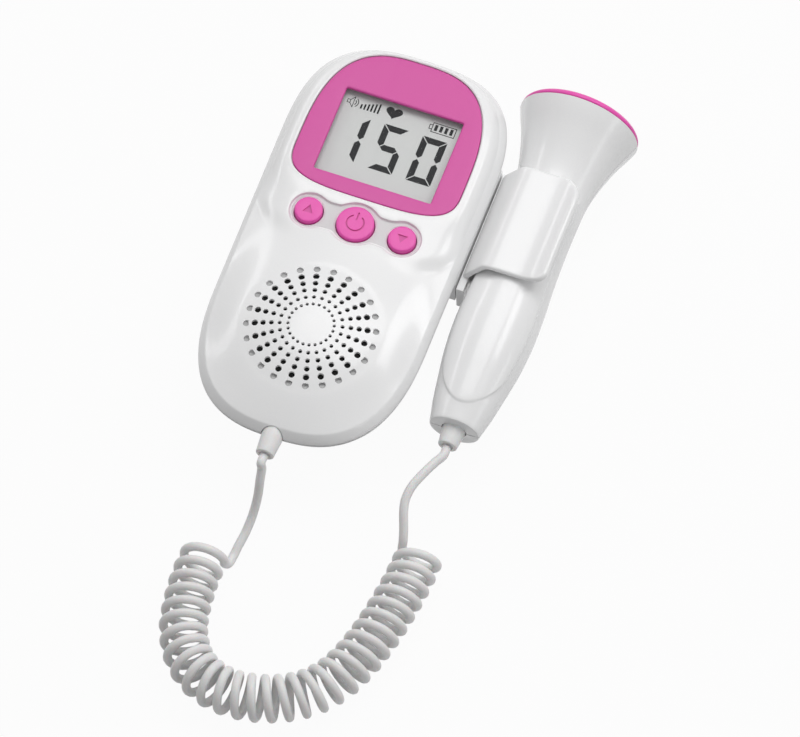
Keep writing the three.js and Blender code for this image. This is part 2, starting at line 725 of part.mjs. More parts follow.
addPiece('speaker_magnet', post(0, grilleY, magnetTop - magnetHeight, magnetTop, magnetRadius, 20), steel);
const cloth = post(0, grilleY, 0, aboveAll, grillePocketRadius - clearance, 24)
  .intersect(dome(0, grilleWeb + clearance, 0))
  .subtract(dome(0, grilleWeb + clearance + clothThickness, 0));
addPiece('speaker_cloth', cloth, blackPlastic);

// Cells and their contacts
const cellX = cellRadius + cellGap / 2;
const cellFaceY = bayStartY + clearance + contactThickness + clearance;
const contactHalfWidth = cellRadius - cellGap;
const contactHalfHeight = cellRadius / 2;
[-1, 1].forEach((side) => {
  const springEnd = side < 0;
  const start = cellFaceY + (springEnd ? springLength : cellNubLength);
  const nubStart = springEnd ? start + cellLength - overrun : start - cellNubLength;
  const nubEnd = nubStart + cellNubLength + overrun;
  const nub = rodAlongY(side * cellX, nubStart, nubEnd, cellAxisZ, cellNubRadius, 12);
  const cell = rodAlongY(side * cellX, start, start + cellLength, cellAxisZ, cellRadius, 20).add(nub);
  addPiece(`battery_cell_${springEnd ? 1 : 2}`, cell, cellSleeve);
});
function contactPlate(x0, x1, y) {
  const [z0, z1] = [cellAxisZ - contactHalfHeight, cellAxisZ + contactHalfHeight];
  return box(x0, x1, y, y + contactThickness, z0, z1);
}
function springCone(x, y0, y1) {
  const points = y1 > y0 ? [[0, y0], [springRadius, y0], [springRadius / 2, y1], [0, y1]]
    : [[0, y1], [springRadius / 2, y1], [springRadius, y0], [0, y0]];
  return latheAlongY(points, x, cellAxisZ, 12);
}
const nearPlateY = bayStartY + clearance;
const farPlateY = bayEndY - clearance - contactThickness;
const plateNear = cellX - contactHalfWidth;
const plateFar = cellX + contactHalfWidth;
const nearSpring = springCone(-cellX, nearPlateY + contactThickness / 2, cellFaceY + springLength - clearance);
const farSpringTip = cellFaceY + cellNubLength + cellLength + clearance;
const farSpring = springCone(cellX, farPlateY + contactThickness / 2, farSpringTip);
addPiece('battery_spring_contact', contactPlate(-plateFar, -plateNear, nearPlateY).add(nearSpring), steel);
addPiece('battery_plus_contact', contactPlate(plateNear, plateFar, nearPlateY), steel);
addPiece('battery_link_contact', contactPlate(-plateFar, plateFar, farPlateY).add(farSpring), steel);

// Side holder: a strip of even thickness along a bent line
function stripOutline(line, thickness) {
  const direction = (from, to) => new THREE.Vector2(to[0] - from[0], to[1] - from[1]).normalize();
  const sideOf = (side) => line.map((point, i) => {
    const incoming = direction(line[Math.max(i - 1, 0)], point);
    const outgoing = direction(point, line[Math.min(i + 1, line.length - 1)]);
    const tangent = incoming.clone().add(outgoing).normalize();
    const normal = new THREE.Vector2(-tangent.y, tangent.x);
    const reference = i > 0 ? incoming : outgoing;
    const reach = (side * thickness) / 2 / Math.abs(normal.x * -reference.y + normal.y * reference.x);
    return [point[0] + normal.x * reach, point[1] + normal.y * reach];
  });
  return [...sideOf(-1), ...sideOf(1).reverse()];
}

function stripAlongY(line, y0, y1) {
  const shape = new THREE.Shape(stripOutline(line, holderThickness).map(([x, z]) => new THREE.Vector2(x, z)));
  const geometry = new THREE.ExtrudeGeometry(shape, { depth: y1 - y0, bevelEnabled: false, curveSegments: 1 });
  return solidOf(geometry.rotateX(halfTurn / 2).translate(0, y1, 0));
}

function cornerRadiusPlan(x0, x1, y0, y1, lowerRadius, upperRadius) {
  const shape = new THREE.Shape();
  shape.moveTo(x0, y0);
  shape.lineTo(x1 - lowerRadius, y0);
  shape.absarc(x1 - lowerRadius, y0 + lowerRadius, lowerRadius, -halfTurn / 2, 0);
  shape.lineTo(x1, y1 - upperRadius);
  shape.absarc(x1 - upperRadius, y1 - upperRadius, upperRadius, 0, halfTurn / 2);
  shape.lineTo(x0, y1);
  const options = { depth: aboveAll * 2, bevelEnabled: false, curveSegments: 8 };
  return solidOf(new THREE.ExtrudeGeometry(shape, options).translate(0, 0, -aboveAll / 2));
}

function probeHolder() {
  const strap = stripAlongY([
    [holderWebX, holderWebBottom], [holderWebX, holderWebTop], [strapRiseX, strapRiseHeight],
    [strapRiseX + holderThickness, strapHeight], [strapBendX, strapHeight],
    lipMiddle, [lipX, lipHeight],
  ], strapStartY, strapEndY);
  const planEnd = lipX + holderThickness / 2;
  const plan = cornerRadiusPlan(holderWebX - holderThickness, planEnd, strapStartY, strapEndY,
    strapBottomCorner, strapTopCorner);
  const leg = stripAlongY([
    [holderWebX, holderWebTop], [holderWebX, holderWebBottom], [legTurnX, legHeight], [legX, legHeight],
  ], legStartY, legEndY);
  const [nearX, farX] = [holderWebX - holderThickness / 2, holderWebX + holderThickness / 2];
  const web = box(nearX, farX, holderWebStartY, holderWebEndY, holderWebBottom, holderWebTop);
  const hook = box(nearX, nearX + hookDepth, holderWebStartY, strapStartY - clearance,
    holderWebBottom, holderWebTop - holderThickness);
  const holes = holderScrewYs.map((y) => (
    rodAlongX(nearX - overrun, holderWebX, y, holderScrewRow, screwHoleRadius, 8)));
  return strap.intersect(plan).add(leg).add(web).add(hook).subtract(union(holes));
}
addPiece('probe_holder', probeHolder(), whiteGloss);
const padFaceX = unitHalfWidth - holderPadDepth;
holderScrewYs.forEach((y, i) => {
  const headEnd = padFaceX - clearance;
  const head = rodAlongX(headEnd - screwHeadHeight, headEnd, y, holderScrewRow, screwHeadRadius);
  const shankEnd = padFaceX + holderScrewLength;
  const shank = rodAlongX(headEnd - overrun / 2, shankEnd, y, holderScrewRow, screwShankRadius, 8);
  addPiece(`holder_screw_${i + 1}`, head.add(shank), steel);
});

// Probe shells: rings along the axis, flattened except at the head
function probeRadiusAt(station) {
  const i = Math.max(1, probeStations.findIndex((value) => value >= station));
  const share = (station - probeStations[i - 1]) / (probeStations[i] - probeStations[i - 1]);
  return probeRadii[i - 1] + (probeRadii[i] - probeRadii[i - 1]) * share;
}

function probeBody(stations, change) {
  const lastStation = probeStations[probeStations.length - 1];
  const rings = stations.map((station) => {
    const inside = Math.min(Math.max(station, 0), lastStation);
    const radius = probeRadiusAt(inside) + change;
    const round = THREE.MathUtils.smoothstep(inside, probeRoundFrom, lastStation);
    const tall = radius * (probeFlatShare + (1 - probeFlatShare) * round);
    return Array.from({ length: probeFacets }, (_, i) => {
      const angle = (fullTurn * i) / probeFacets;
      return [probeX + radius * Math.sin(angle), probeStartY + station, probeZ + tall * Math.cos(angle)];
    });
  });
  return solidOf(loft(rings));
}

const probeLength = probeStations[probeStations.length - 1];
const probeHeadY = probeStartY + probeLength;
const innerStations = [probeWall, ...probeStations.slice(3, -1), probeLength + overrun];
const probeOuter = probeBody(probeStations, 0);
const probeInner = probeBody(innerStations, -probeWall);
const probeSpan = probeRadii[probeRadii.length - 1] + overrun;

function gripPanel() {
  const stations = gripRoundShares.map((share) => gripStart + gripRoundLength * share);
  const straightStart = gripStart + gripRoundLength;
  stations.push(...probeStations.filter((station) => station > straightStart && station < gripEnd));
  const halfWidthAt = (station) => {
    const share = Math.min((station - gripStart) / gripRoundLength, 1);
    return (probeRadiusAt(station) - gripInset) * Math.sqrt(1 - (1 - share) ** 2);
  };
  const right = stations.map((station) => [probeX + halfWidthAt(station), probeStartY + station]);
  const left = [...right].reverse().map(([x, y]) => [2 * probeX - x, y]);
  const tip = [probeX, probeStartY + gripStart];
  return prism([tip, ...right, ...left], probeZ + probeWall, probeZ + probeSpan)
    .intersect(probeBody(probeStations, gripRise));
}

const probeBoardBottom = probeZ - probeBoardThickness / 2;
const probeBoardTop = probeZ + probeBoardThickness / 2;
const probePosts = probePostStations.map((station) => probeStartY + station);
const glandSeatY = probeStartY + probeWall;

function probeShell(front) {
  let shell = probeOuter.subtract(probeInner);
  if (front) shell = shell.add(gripPanel().subtract(probeInner));
  const postSpan = front
    ? [probeBoardTop + clearance, probeZ + probeSpan]
    : [probeZ - probeSpan, probeBoardBottom - clearance];
  const posts = probePosts.map((y) => post(probeX, y, ...postSpan, probePostRadius, 12));
  shell = shell.add(union(posts).intersect(probeOuter));
  const keep = front
    ? [probeZ + probeSplit / 2, probeZ + probeSpan * 2]
    : [probeZ - probeSpan * 2, probeZ - probeSplit / 2];
  const [nearX, farX] = [probeX - probeSpan * 2, probeX + probeSpan * 2];
  shell = shell.intersect(box(nearX, farX, probeStartY - overrun, probeHeadY + overrun, ...keep));
  const holeTop = probeScrewSeat + probeScrewLength + overrun / 2;
  const cuts = probePosts.flatMap((y) => [
    post(probeX, y, probeScrewSeat - overrun, holeTop, screwHoleRadius, 8),
    post(probeX, y, belowAll, probeScrewSeat, screwHeadRadius + clearance, 12),
  ]);
  const glandBore = probeGlandRadius + clearance;
  cuts.push(rodAlongY(probeX, probeStartY - overrun, glandSeatY + overrun, probeZ, glandBore));
  return shell.subtract(union(cuts));
}
addPiece('probe_front_shell', probeShell(true), whiteGloss);
addPiece('probe_rear_shell', probeShell(false), whiteGloss);
probePosts.forEach((y, i) => {
  addPiece(`probe_screw_${i + 1}`, screw(probeX, y, probeScrewSeat, probeScrewLength), steel);
});

// Probe face and the ultrasonic parts behind it
const capBackY = probeHeadY + clearance;
addPiece('probe_face_cap', latheAlongY([
  [0, capBackY - capPlugDepth], [capPlugRadius, capBackY - capPlugDepth], [capPlugRadius, capBackY],
  [capRadius, capBackY], [capRadius, capBackY + capRim],
  ...capRadiusShares.map((share, i) => [capRadius * share, capBackY + capRim + capDome * capRiseShares[i]]),
  [0, capBackY + capRim + capDome],
], probeX, probeZ, 32), pinkPlastic);
const crystalY = capBackY - capPlugDepth - clearance - crystalThickness;
[['send', -1], ['receive', 1]].forEach(([role, side]) => {
  const inner = side * crystalSplit / 2;
  const outer = side * (crystalRadius + overrun);
  const [nearX, farX] = [probeX + Math.min(inner, outer), probeX + Math.max(inner, outer)];
  const half = box(nearX, farX, crystalY - overrun, crystalY + crystalThickness + overrun,
    probeZ - crystalRadius * 2, probeZ + crystalRadius * 2);
  const disc = rodAlongY(probeX, crystalY, crystalY + crystalThickness, probeZ, crystalRadius, 24);
  addPiece(`crystal_${role}`, disc.intersect(half), ceramic);
});
const backingY = crystalY - clearance - backingLength;
const backing = rodAlongY(probeX, backingY, backingY + backingLength, probeZ, backingRadius, 20);
addPiece('crystal_backing', backing, blackPlastic);
const [boardNearX, boardFarX] = [probeX - probeBoardHalfWidth, probeX + probeBoardHalfWidth];
const probeBoard = box(boardNearX, boardFarX, probeStartY + probeBoardStart, backingY - clearance,
  probeBoardBottom, probeBoardTop);
const boardHoles = probePosts.map((y) => post(probeX, y, 0, aboveAll, screwHoleRadius, 8));
addPiece('probe_board', probeBoard.subtract(union(boardHoles)), boardGreen);

// Cord glands: a tapered sleeve outside, a neck in the wall and a flange behind it
function gland(x, z, faceY, neckLength, length, radius, tipRadius) {
  const flangeY = faceY + neckLength + clearance;
  return latheAlongY([
    [0, faceY - length], [tipRadius, faceY - length], [radius, faceY - clearance],
    [radius, flangeY], [glandFlangeRadius, flangeY], [glandFlangeRadius, flangeY + glandFlangeThickness],
    [0, flangeY + glandFlangeThickness],
  ], x, z, 16);
}
const unitGland = gland(0, partingHeight, unitBottomY, glandGrooveDepth, unitGlandLength,
  unitGlandRadius, unitGlandTipRadius);
addPiece('unit_cable_gland', unitGland, softWhite);
const probeGland = gland(probeX, probeZ, probeStartY, probeWall, probeGlandLength,
  probeGlandRadius, probeGlandTipRadius);
addPiece('probe_cable_gland', probeGland, softWhite);

// Cord: two free leads and the coil between them
const vector = ([x, y, z]) => new THREE.Vector3(x, y, z);

function leadTube(points) {
  const radius = cordDiameter / 2;
  const section = new THREE.Shape(Array.from({ length: leadSides }, (_, i) => {
    const angle = (fullTurn * i) / leadSides;
    return new THREE.Vector2(radius * Math.cos(angle), radius * Math.sin(angle));
  }));
  const extrudePath = new THREE.CatmullRomCurve3(points.map(vector));
  return solidOf(new THREE.ExtrudeGeometry(section, { steps: leadSteps, bevelEnabled: false, extrudePath }));
}

const coilAxis = new THREE.CatmullRomCurve3(coilAxisPoints.map(([x, y]) => vector([x, y, coilAxisHeight])));
const coilSteps = coilTurns * coilStepsPerTurn;
const coilLine = Array.from({ length: coilSteps + 1 }, (_, i) => {
  const share = i / coilSteps;
  const phase = coilStartPhase + (fullTurn * i) / coilStepsPerTurn;
  const tangent = coilAxis.getTangentAt(share);
  const side = new THREE.Vector3(-tangent.y, tangent.x, 0).normalize();
  return coilAxis.getPointAt(share)
    .addScaledVector(side, coilRadius * Math.cos(phase))
    .add(new THREE.Vector3(0, 0, coilRadius * Math.sin(phase)));
});
const coilPath = [...coilEntryPoints.map(vector), ...coilLine, ...coilExitPoints.map(vector)];

// A tube of flat-sided rings, each ring square to the path, carried on from the ring before
function tubeThrough(path, radius, sides) {
  let side = new THREE.Vector3(0, 0, 1);
  const rings = path.map((point, i) => {
    const before = path[Math.max(i - 1, 0)];
    const after = path[Math.min(i + 1, path.length - 1)];
    const tangent = after.clone().sub(before).normalize();
    side = side.clone().addScaledVector(tangent, -side.dot(tangent)).normalize();
    const other = tangent.clone().cross(side);
    return Array.from({ length: sides }, (_, k) => {
      const angle = (fullTurn * k) / sides;
      return point.clone().addScaledVector(side, radius * Math.cos(angle))
        .addScaledVector(other, radius * Math.sin(angle)).toArray();
    });
  });
  return solidOf(loft(rings));
}

function leastGap(path, diameter, stepsApart) {
  let least = Infinity;
  path.forEach((point, i) => {
    for (let k = i + stepsApart; k < path.length; k += 1) {
      least = Math.min(least, point.distanceTo(path[k]));
    }
  });
  return least - diameter;
}
const pointsPerStep = 4;
const finePath = new THREE.CatmullRomCurve3(coilPath).getPoints(coilPath.length * pointsPerStep);
const coilGap = leastGap(finePath, cordDiameter, (coilStepsPerTurn * pointsPerStep) / 2);
console.log('least gap between the coil and itself, mm:', coilGap.toFixed(2));
addPiece('coiled_cord', tubeThrough(coilPath, cordDiameter / 2, coilSides), softWhite);

const alongY = (point, distance) => [point[0], point[1] + distance, point[2]];
const facing = (end, next) => vector(end).sub(vector(next)).normalize();
const unitExit = [0, unitBottomY - unitGlandLength - clearance, partingHeight];
const probeExit = [probeX, probeStartY - probeGlandLength - clearance, probeZ];
const beyond = (end, next, distance) => vector(end).addScaledVector(facing(end, next), distance).toArray();
const straight = [clearance, clearance + cordDiameter];
const [coilStart, coilSecond] = coilEntryPoints;
const [coilEnd, coilLastButOne] = [...coilExitPoints].reverse();
const coilFront = straight.map((distance) => beyond(coilStart, coilSecond, distance)).reverse();
const coilBack = straight.map((distance) => beyond(coilEnd, coilLastButOne, distance));
const unitLead = leadTube([unitExit, alongY(unitExit, -cordDiameter), ...unitLeadPoints, ...coilFront]);
addPiece('unit_cord_lead', unitLead, softWhite);
const probeLead = leadTube([...coilBack, ...probeLeadPoints, alongY(probeExit, -cordDiameter), probeExit]);
addPiece('probe_cord_lead', probeLead, softWhite);

// The origin is the middle of the foot of the object's box without its cord
const cordNames = ['coiled_cord', 'unit_cord_lead', 'probe_cord_lead'];
const extent = new THREE.Box3();
const solidPieces = pieces.children.filter((mesh) => !cordNames.includes(mesh.name));
solidPieces.forEach((mesh) => extent.expandByObject(mesh));
const middle = extent.getCenter(new THREE.Vector3());
pieces.position.set(-middle.x, -middle.y, -extent.min.z);
const object = new THREE.Group();
object.add(pieces);

export default object;
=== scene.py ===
"""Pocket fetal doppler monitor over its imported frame: display unit, side holder, probe and curly cord.

Sizes are millimetres from the middle of the unit's outline, and Datum turns them into metres of the row
frame.
"""
from __future__ import annotations

import json
import logging
import math
from dataclasses import dataclass, field
from enum import Enum
from typing import Callable, Sequence

import bpy
import numpy as np
from mathutils import Matrix, Vector, kdtree
from mathutils.geometry import delaunay_2d_cdt


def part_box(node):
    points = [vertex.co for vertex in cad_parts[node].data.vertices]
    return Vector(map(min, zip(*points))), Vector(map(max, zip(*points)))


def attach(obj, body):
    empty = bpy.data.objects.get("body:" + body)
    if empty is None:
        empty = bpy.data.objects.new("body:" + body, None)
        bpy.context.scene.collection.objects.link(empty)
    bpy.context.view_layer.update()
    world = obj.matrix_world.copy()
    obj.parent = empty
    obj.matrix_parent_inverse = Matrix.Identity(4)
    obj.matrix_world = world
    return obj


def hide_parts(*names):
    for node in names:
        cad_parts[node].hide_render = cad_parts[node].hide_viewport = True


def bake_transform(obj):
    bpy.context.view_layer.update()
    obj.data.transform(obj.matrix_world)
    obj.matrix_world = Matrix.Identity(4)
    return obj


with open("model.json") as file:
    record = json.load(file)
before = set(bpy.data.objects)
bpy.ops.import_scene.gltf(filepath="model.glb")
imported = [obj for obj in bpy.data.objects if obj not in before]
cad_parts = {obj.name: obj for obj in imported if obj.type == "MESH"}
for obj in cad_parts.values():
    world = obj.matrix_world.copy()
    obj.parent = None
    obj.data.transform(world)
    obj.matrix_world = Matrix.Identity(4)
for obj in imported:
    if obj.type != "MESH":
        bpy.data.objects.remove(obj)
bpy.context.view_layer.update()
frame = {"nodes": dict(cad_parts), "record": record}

LOG = logging.getLogger("doppler")
MM = 0.001

# How finely the shared helpers draw
RIM_POINTS = 220
OUTLINE_POINTS = 600
CORNER_STEPS = 6
RAY_LIMIT = 60.0
RAY_HALVINGS = 40

# Driving sizes that more than one sub-assembly uses
POWER_BUTTON_Y = 4.7
PARTING_HEIGHT = 24.0
CLEARANCE = 0.3
UNIT_BOTTOM_Y = -69.0
UNIT_TOP_Y = 69.0
GRILLE_Y = -34.0
CORD_DIAMETER = 2.8
PROBE_X = 50.3
PROBE_Z = 19.3
PROBE_START_Y = -45.7
BUTTON_SPACING = 15.15
BUTTON_PLACES = (-BUTTON_SPACING, 0.0, BUTTON_SPACING)
BUTTON_RADII = (4.35, 5.85, 4.35)
CASE_SCREWS = ((16.0, -56.0), (-16.0, -56.0), (12.0, 59.2), (-12.0, 59.2))

Points = np.ndarray
Face = tuple[int, ...]
Body = tuple[Points, list[Face]]
Rows = Sequence[Sequence[float]]
Pair = tuple[float, float]
Triple = tuple[float, float, float]
Piece = bpy.types.Object
Material = bpy.types.Material
Socket = bpy.types.NodeSocket


class Datum:
    """The middle of the unit's outline, found from the power button, in the row frame."""

    def __init__(self) -> None:
        """Reads the power button's box."""
        low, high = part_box("power_button")
        middle = (low + high) / 2
        self.origin = np.array([middle.x, middle.y - POWER_BUTTON_Y * MM, 0.0])

    def row(self, points: Rows) -> Points:
        """Turns points in unit millimetres into metres of the row frame."""
        return np.asarray(points, float) * MM + self.origin


DATUM = Datum()


@dataclass(frozen=True)
class Outline:
    """A rectangle with two different superellipse ends, at the top and at the bottom."""

    half_width: float
    top: Triple
    bottom: Triple

    def inset(self, distance: float) -> "Outline":
        """Moves the outline inwards.

        Args:
            distance: how far.

        Returns:
            The new outline.
        """
        top = (self.top[0], self.top[1] - distance, self.top[2])
        bottom = (self.bottom[0], self.bottom[1] - distance, self.bottom[2])
        return Outline(self.half_width - distance, top, bottom)

    def value(self, x: Points, y: Points) -> Points:
        """Tells which side of the outline points lie on.

        Args:
            x: the points' places across.
            y: the points' places along.

        Returns:
            1 on the outline, less inside it.
        """
        above, below = y > self.top[0], y < self.bottom[0]
        roundness = np.where(above, self.top[2], self.bottom[2])
        beyond = np.where(above, (y - self.top[0]) / self.top[1], 0.0)
        beyond = np.where(below, (self.bottom[0] - y) / self.bottom[1], beyond)
        return (np.abs(x) / self.half_width) ** roundness + np.abs(beyond) ** roundness

    def reach(self, x: Points, y: Points, middle_y: float) -> Points:
        """Follows rays from (0, middle_y) through points to the outline.

        Args:
            x: the points' places across.
            y: the points' places along.
            middle_y: where the rays start.

        Returns:
            Each ray's length up to the outline, as a multiple of its length up to its point.
        """
        low, high = np.zeros_like(x), np.full_like(x, RAY_LIMIT)
        for _ in range(RAY_HALVINGS):
            reach = (low + high) / 2
            inside = self.value(x * reach, middle_y + (y - middle_y) * reach) < 1
            low, high = np.where(inside, reach, low), np.where(inside, high, reach)
        return (low + high) / 2

    def loop(self, count: int) -> Points:
        """Draws the outline, anticlockwise.

        Args:
            count: the number of points.

        Returns:
            Evenly spaced points along it.
        """
        halves = []
        for (start, length, roundness), side in ((self.top, 1), (self.bottom, -1)):
            angle = np.linspace(0, math.pi, OUTLINE_POINTS)
            across = np.sign(np.cos(angle)) * np.abs(np.cos(angle)) ** (2 / roundness)
            along = np.abs(np.sin(angle)) ** (2 / roundness)
            halves.append(np.column_stack([side * self.half_width * across, start + side * length * along]))
        return resample(np.vstack(halves), count)


def resample(loop: Points, count: int) -> Points:
    """Spaces points evenly along a closed line.

    Args:
        loop: the line.
        count: the number of points.

    Returns:
        The new points.
    """
    closed = np.vstack([loop, loop[:1]])
    steps = np.linalg.norm(np.diff(closed, axis=0), axis=1)
    distance = np.concatenate([[0], np.cumsum(steps)])
    wanted = np.linspace(0, distance[-1], count, endpoint=False)
    return np.column_stack([np.interp(wanted, distance, closed[:, k]) for k in range(closed.shape[1])])


def outward(loop: Points) -> Points:
    """Finds a loop's outward directions.

    Args:
        loop: an anticlockwise loop.

    Returns:
        Unit normals.
    """
    tangent = np.roll(loop, -1, axis=0) - np.roll(loop, 1, axis=0)
    normal = np.column_stack([tangent[:, 1], -tangent[:, 0]])
    return normal / np.linalg.norm(normal, axis=1)[:, None]


def circle(x: float, y: float, radius: float, count: int) -> Points:
    """Points on a circle, anticlockwise."""
    angle = np.linspace(0, 2 * math.pi, count, endpoint=False)
    return np.column_stack([x + radius * np.cos(angle), y + radius * np.sin(angle)])


def rounded_box(width: float, height: float, y: float, radius: float) -> Points:
    """Draws a rectangle round (0, y) with rounded corners, anticlockwise.

    Args:
        width: its width.
        height: its height.
        y: its middle.
        radius: its corners' radius.

    Returns:
        Its points.
    """
    points = []
    for side_x, side_y, start in ((1, -1, -90), (1, 1, 0), (-1, 1, 90), (-1, -1, 180)):
        for step in range(CORNER_STEPS + 1):
            angle = math.radians(start + 90 * step / CORNER_STEPS)
            corner_x = side_x * (width / 2 - radius)
            corner_y = y + side_y * (height / 2 - radius)
            points.append([corner_x + radius * math.cos(angle), corner_y + radius * math.sin(angle)])
    return np.array(points)


def smoothstep(value: Points, low: Points, high: Points) -> Points:
    """0 below low, 1 above high, and a smooth turn between them."""
    share = np.clip((value - low) / (high - low), 0, 1)
    return share * share * (3 - 2 * share)


def spline(points: Rows, steps: int) -> Points:
    """Draws the centripetal Catmull-Rom curve that the part's source draws.

    Args:
        points: the points that it passes through.
        steps: the number of parts between two points.

    Returns:
        Points along the curve.
    """
    given = np.asarray(points, float)
    ends = [2 * given[0] - given[1], 2 * given[-1] - given[-2]]
    padded = np.vstack([ends[0], given, ends[1]])
    curve = []
    for p0, p1, p2, p3 in zip(padded, padded[1:], padded[2:], padded[3:]):
        d0, d1, d2 = (math.sqrt(np.linalg.norm(b - a)) for a, b in ((p0, p1), (p1, p2), (p2, p3)))
        t1 = ((p1 - p0) / d0 - (p2 - p0) / (d0 + d1) + (p2 - p1) / d1) * d1
        t2 = ((p2 - p1) / d1 - (p3 - p1) / (d1 + d2) + (p3 - p2) / d2) * d1
        for share in np.arange(steps) / steps:
            cubic = 2 * p1 - 2 * p2 + t1 + t2
            square = -3 * p1 + 3 * p2 - 2 * t1 - t2
            curve.append(p1 + share * (t1 + share * (square + share * cubic)))
    curve.append(given[-1])
    return np.array(curve)


def by_length(line: Points, count: int) -> Points:
    """Spaces points evenly along an open line.

    Args:
        line: the line.
        count: the number of points.

    Returns:
        The new points.
    """
    distance = np.concatenate([[0], np.cumsum(np.linalg.norm(np.diff(line, axis=0), axis=1))])
    wanted = np.linspace(0, distance[-1], count)
    return np.column_stack([np.interp(wanted, distance, line[:, k]) for k in range(line.shape[1])])


class Shading(Enum):
    """How a piece's edges are shaded: the sharpest turn that still looks round, in degrees."""

    SOFT = 38.0
    ROUND = 60.0
    FLAT = 1.0


def add_piece(name: str, points: Points, faces: Sequence[Face], finish: Material,
              shading: Shading = Shading.SOFT) -> Piece:
    """Makes a mesh object from unit millimetres.

    Args:
        name: the piece's name.
        points: its vertices.
        faces: its faces, pointing outwards.
        finish: its material.
        shading: how its edges are shaded.

    Returns:
        The object, at the origin of the row frame.
    """
    mesh = bpy.data.meshes.new(name)
    mesh.from_pydata(DATUM.row(points).tolist(), [], [tuple(int(i) for i in face) for face in faces])
    mesh.validate()
    mesh.materials.append(finish)
    piece = bpy.data.objects.new(name, mesh)
    bpy.context.scene.collection.objects.link(piece)
    shade(piece, shading)
    return piece


def dress(piece: Piece, body: str, slot: str, *nodes: str) -> None:
    """Lets a piece ride on a body, hides the CAD nodes whose place it takes, and logs its slot.

    Args:
        piece: the piece.
        body: the body.
        slot: the slot.
        nodes: CAD nodes whose place it takes.
    """
    if nodes:
        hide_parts(*nodes)
    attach(piece, body)
    LOG.info("%s on %s in %s, %d faces", piece.name, body, slot, len(piece.data.polygons))


def shade(piece: Piece, shading: Shading) -> None:
    """Smooths a piece's faces, and keeps its sharp turns sharp."""
    piece.data.shade_smooth()
    piece.data.set_sharp_from_angle(angle=math.radians(shading.value))


def freeze(piece: Piece, shading: Shading = Shading.SOFT) -> Piece:
    """Turns a piece with modifiers into a plain mesh.

    Args:
        piece: the piece.
        shading: how the result's edges are shaded.

    Returns:
        The piece.
    """
    graph = bpy.context.evaluated_depsgraph_get()
    mesh = bpy.data.meshes.new_from_object(piece.evaluated_get(graph), depsgraph=graph)
    piece.modifiers.clear()
    old, piece.data = piece.data, mesh
    bpy.data.meshes.remove(old)
    mesh.name = piece.name
    shade(piece, shading)
    return piece


def loft(rings: Sequence[Points]) -> Body:
    """Closes a body through rings of equal point counts.

    Args:
        rings: the rings, which run anticlockwise seen from the last one's side.

    Returns:
        Points and faces.
    """
    count = len(rings[0])
    points = np.vstack([*rings, rings[0].mean(axis=0), rings[-1].mean(axis=0)])
    first, last = len(rings) * count, len(rings) * count + 1
    faces: list[Face] = []
    for i in range(count):
        after = (i + 1) % count
        faces.append((first, after, i))
        top = (len(rings) - 1) * count
        faces.append((last, top + i, top + after))
        for ring in range(len(rings) - 1):
            low, high = ring * count, (ring + 1) * count
            faces.append((low + i, low + after, high + after, high + i))
    return points, faces


def lathe(profile: Rows, x: float, y: float, z: float, axis: str, sides: int = 64) -> Body:
    """Turns a profile round an axis.

    Args:
        profile: (radius, distance) pairs that start and end on the axis, from its low end to its high end.
        x: the axis' place across.
        y: the axis' place along.
        z: the axis' height.
        axis: "Y" or "Z".
        sides: the number of sides.

    Returns:
        Points and faces.
    """
    angle = np.linspace(0, 2 * math.pi, sides, endpoint=False)
    rings = []
    for radius, distance in profile[1:-1]:
        across, over, along = radius * np.cos(angle), radius * np.sin(angle), np.full(sides, distance)
        if axis == "Z":
            rings.append(np.column_stack([x + across, y + over, z + along]))
        else:
            rings.append(np.column_stack([x + over, y + along, z + across]))
    points, faces = loft(rings)
    tips = [[x, y, z + d] if axis == "Z" else [x, y + d, z] for d in (profile[0][1], profile[-1][1])]
    points[-2:] = tips
    return points, faces


def rounded(profile: Rows, radius: float, steps: int = 4) -> list[list[float]]:
    """Rounds every inner corner of an open profile with an arc-like curve.

    Args:
        profile: the profile's corners.
        radius: how far from a corner its curve starts, at most.
        steps: the number of straight parts in a curve.

    Returns:
        The rounded profile.
    """
    line = np.asarray(profile, float)
    result = [line[0].tolist()]
    for before, corner, after in zip(line, line[1:], line[2:]):
        reach_in = min(radius, 0.45 * np.linalg.norm(corner - before))
        reach_out = min(radius, 0.45 * np.linalg.norm(after - corner))
        start = corner + (before - corner) / np.linalg.norm(before - corner) * reach_in
        end = corner + (after - corner) / np.linalg.norm(after - corner) * reach_out
        for share in np.linspace(0, 1, steps + 1):
            point = (1 - share) ** 2 * start + 2 * share * (1 - share) * corner + share ** 2 * end
            result.append(point.tolist())
    result.append(line[-1].tolist())
    return result


def box_body(x0: float, x1: float, y0: float, y1: float, z0: float, z1: float) -> Body:
    """A plain block, for cuts and joins."""
    plan = np.array([[x0, y0], [x1, y0], [x1, y1], [x0, y1]])
    return loft([np.column_stack([plan, np.full(4, z)]) for z in (z0, z1)])


def post_body(x: float, y: float, z0: float, z1: float, radius: float, axis: str = "Z",
              sides: int = 40) -> Body:
    """Builds a round post, for cuts and joins.

    Args:
        x: its axis' first place.
        y: its axis' second place.
        z0: where it starts.
        z1: where it ends.
        radius: its radius.
        axis: "Y" or "Z".
        sides: the number of sides.

    Returns:
        Points and faces.
    """
    profile = [(0, z0), (radius, z0), (radius, z1), (0, z1)]
    if axis == "Z":
        return lathe(profile, x, y, 0, "Z", sides)
    return lathe(profile, x, 0, y, "Y", sides)


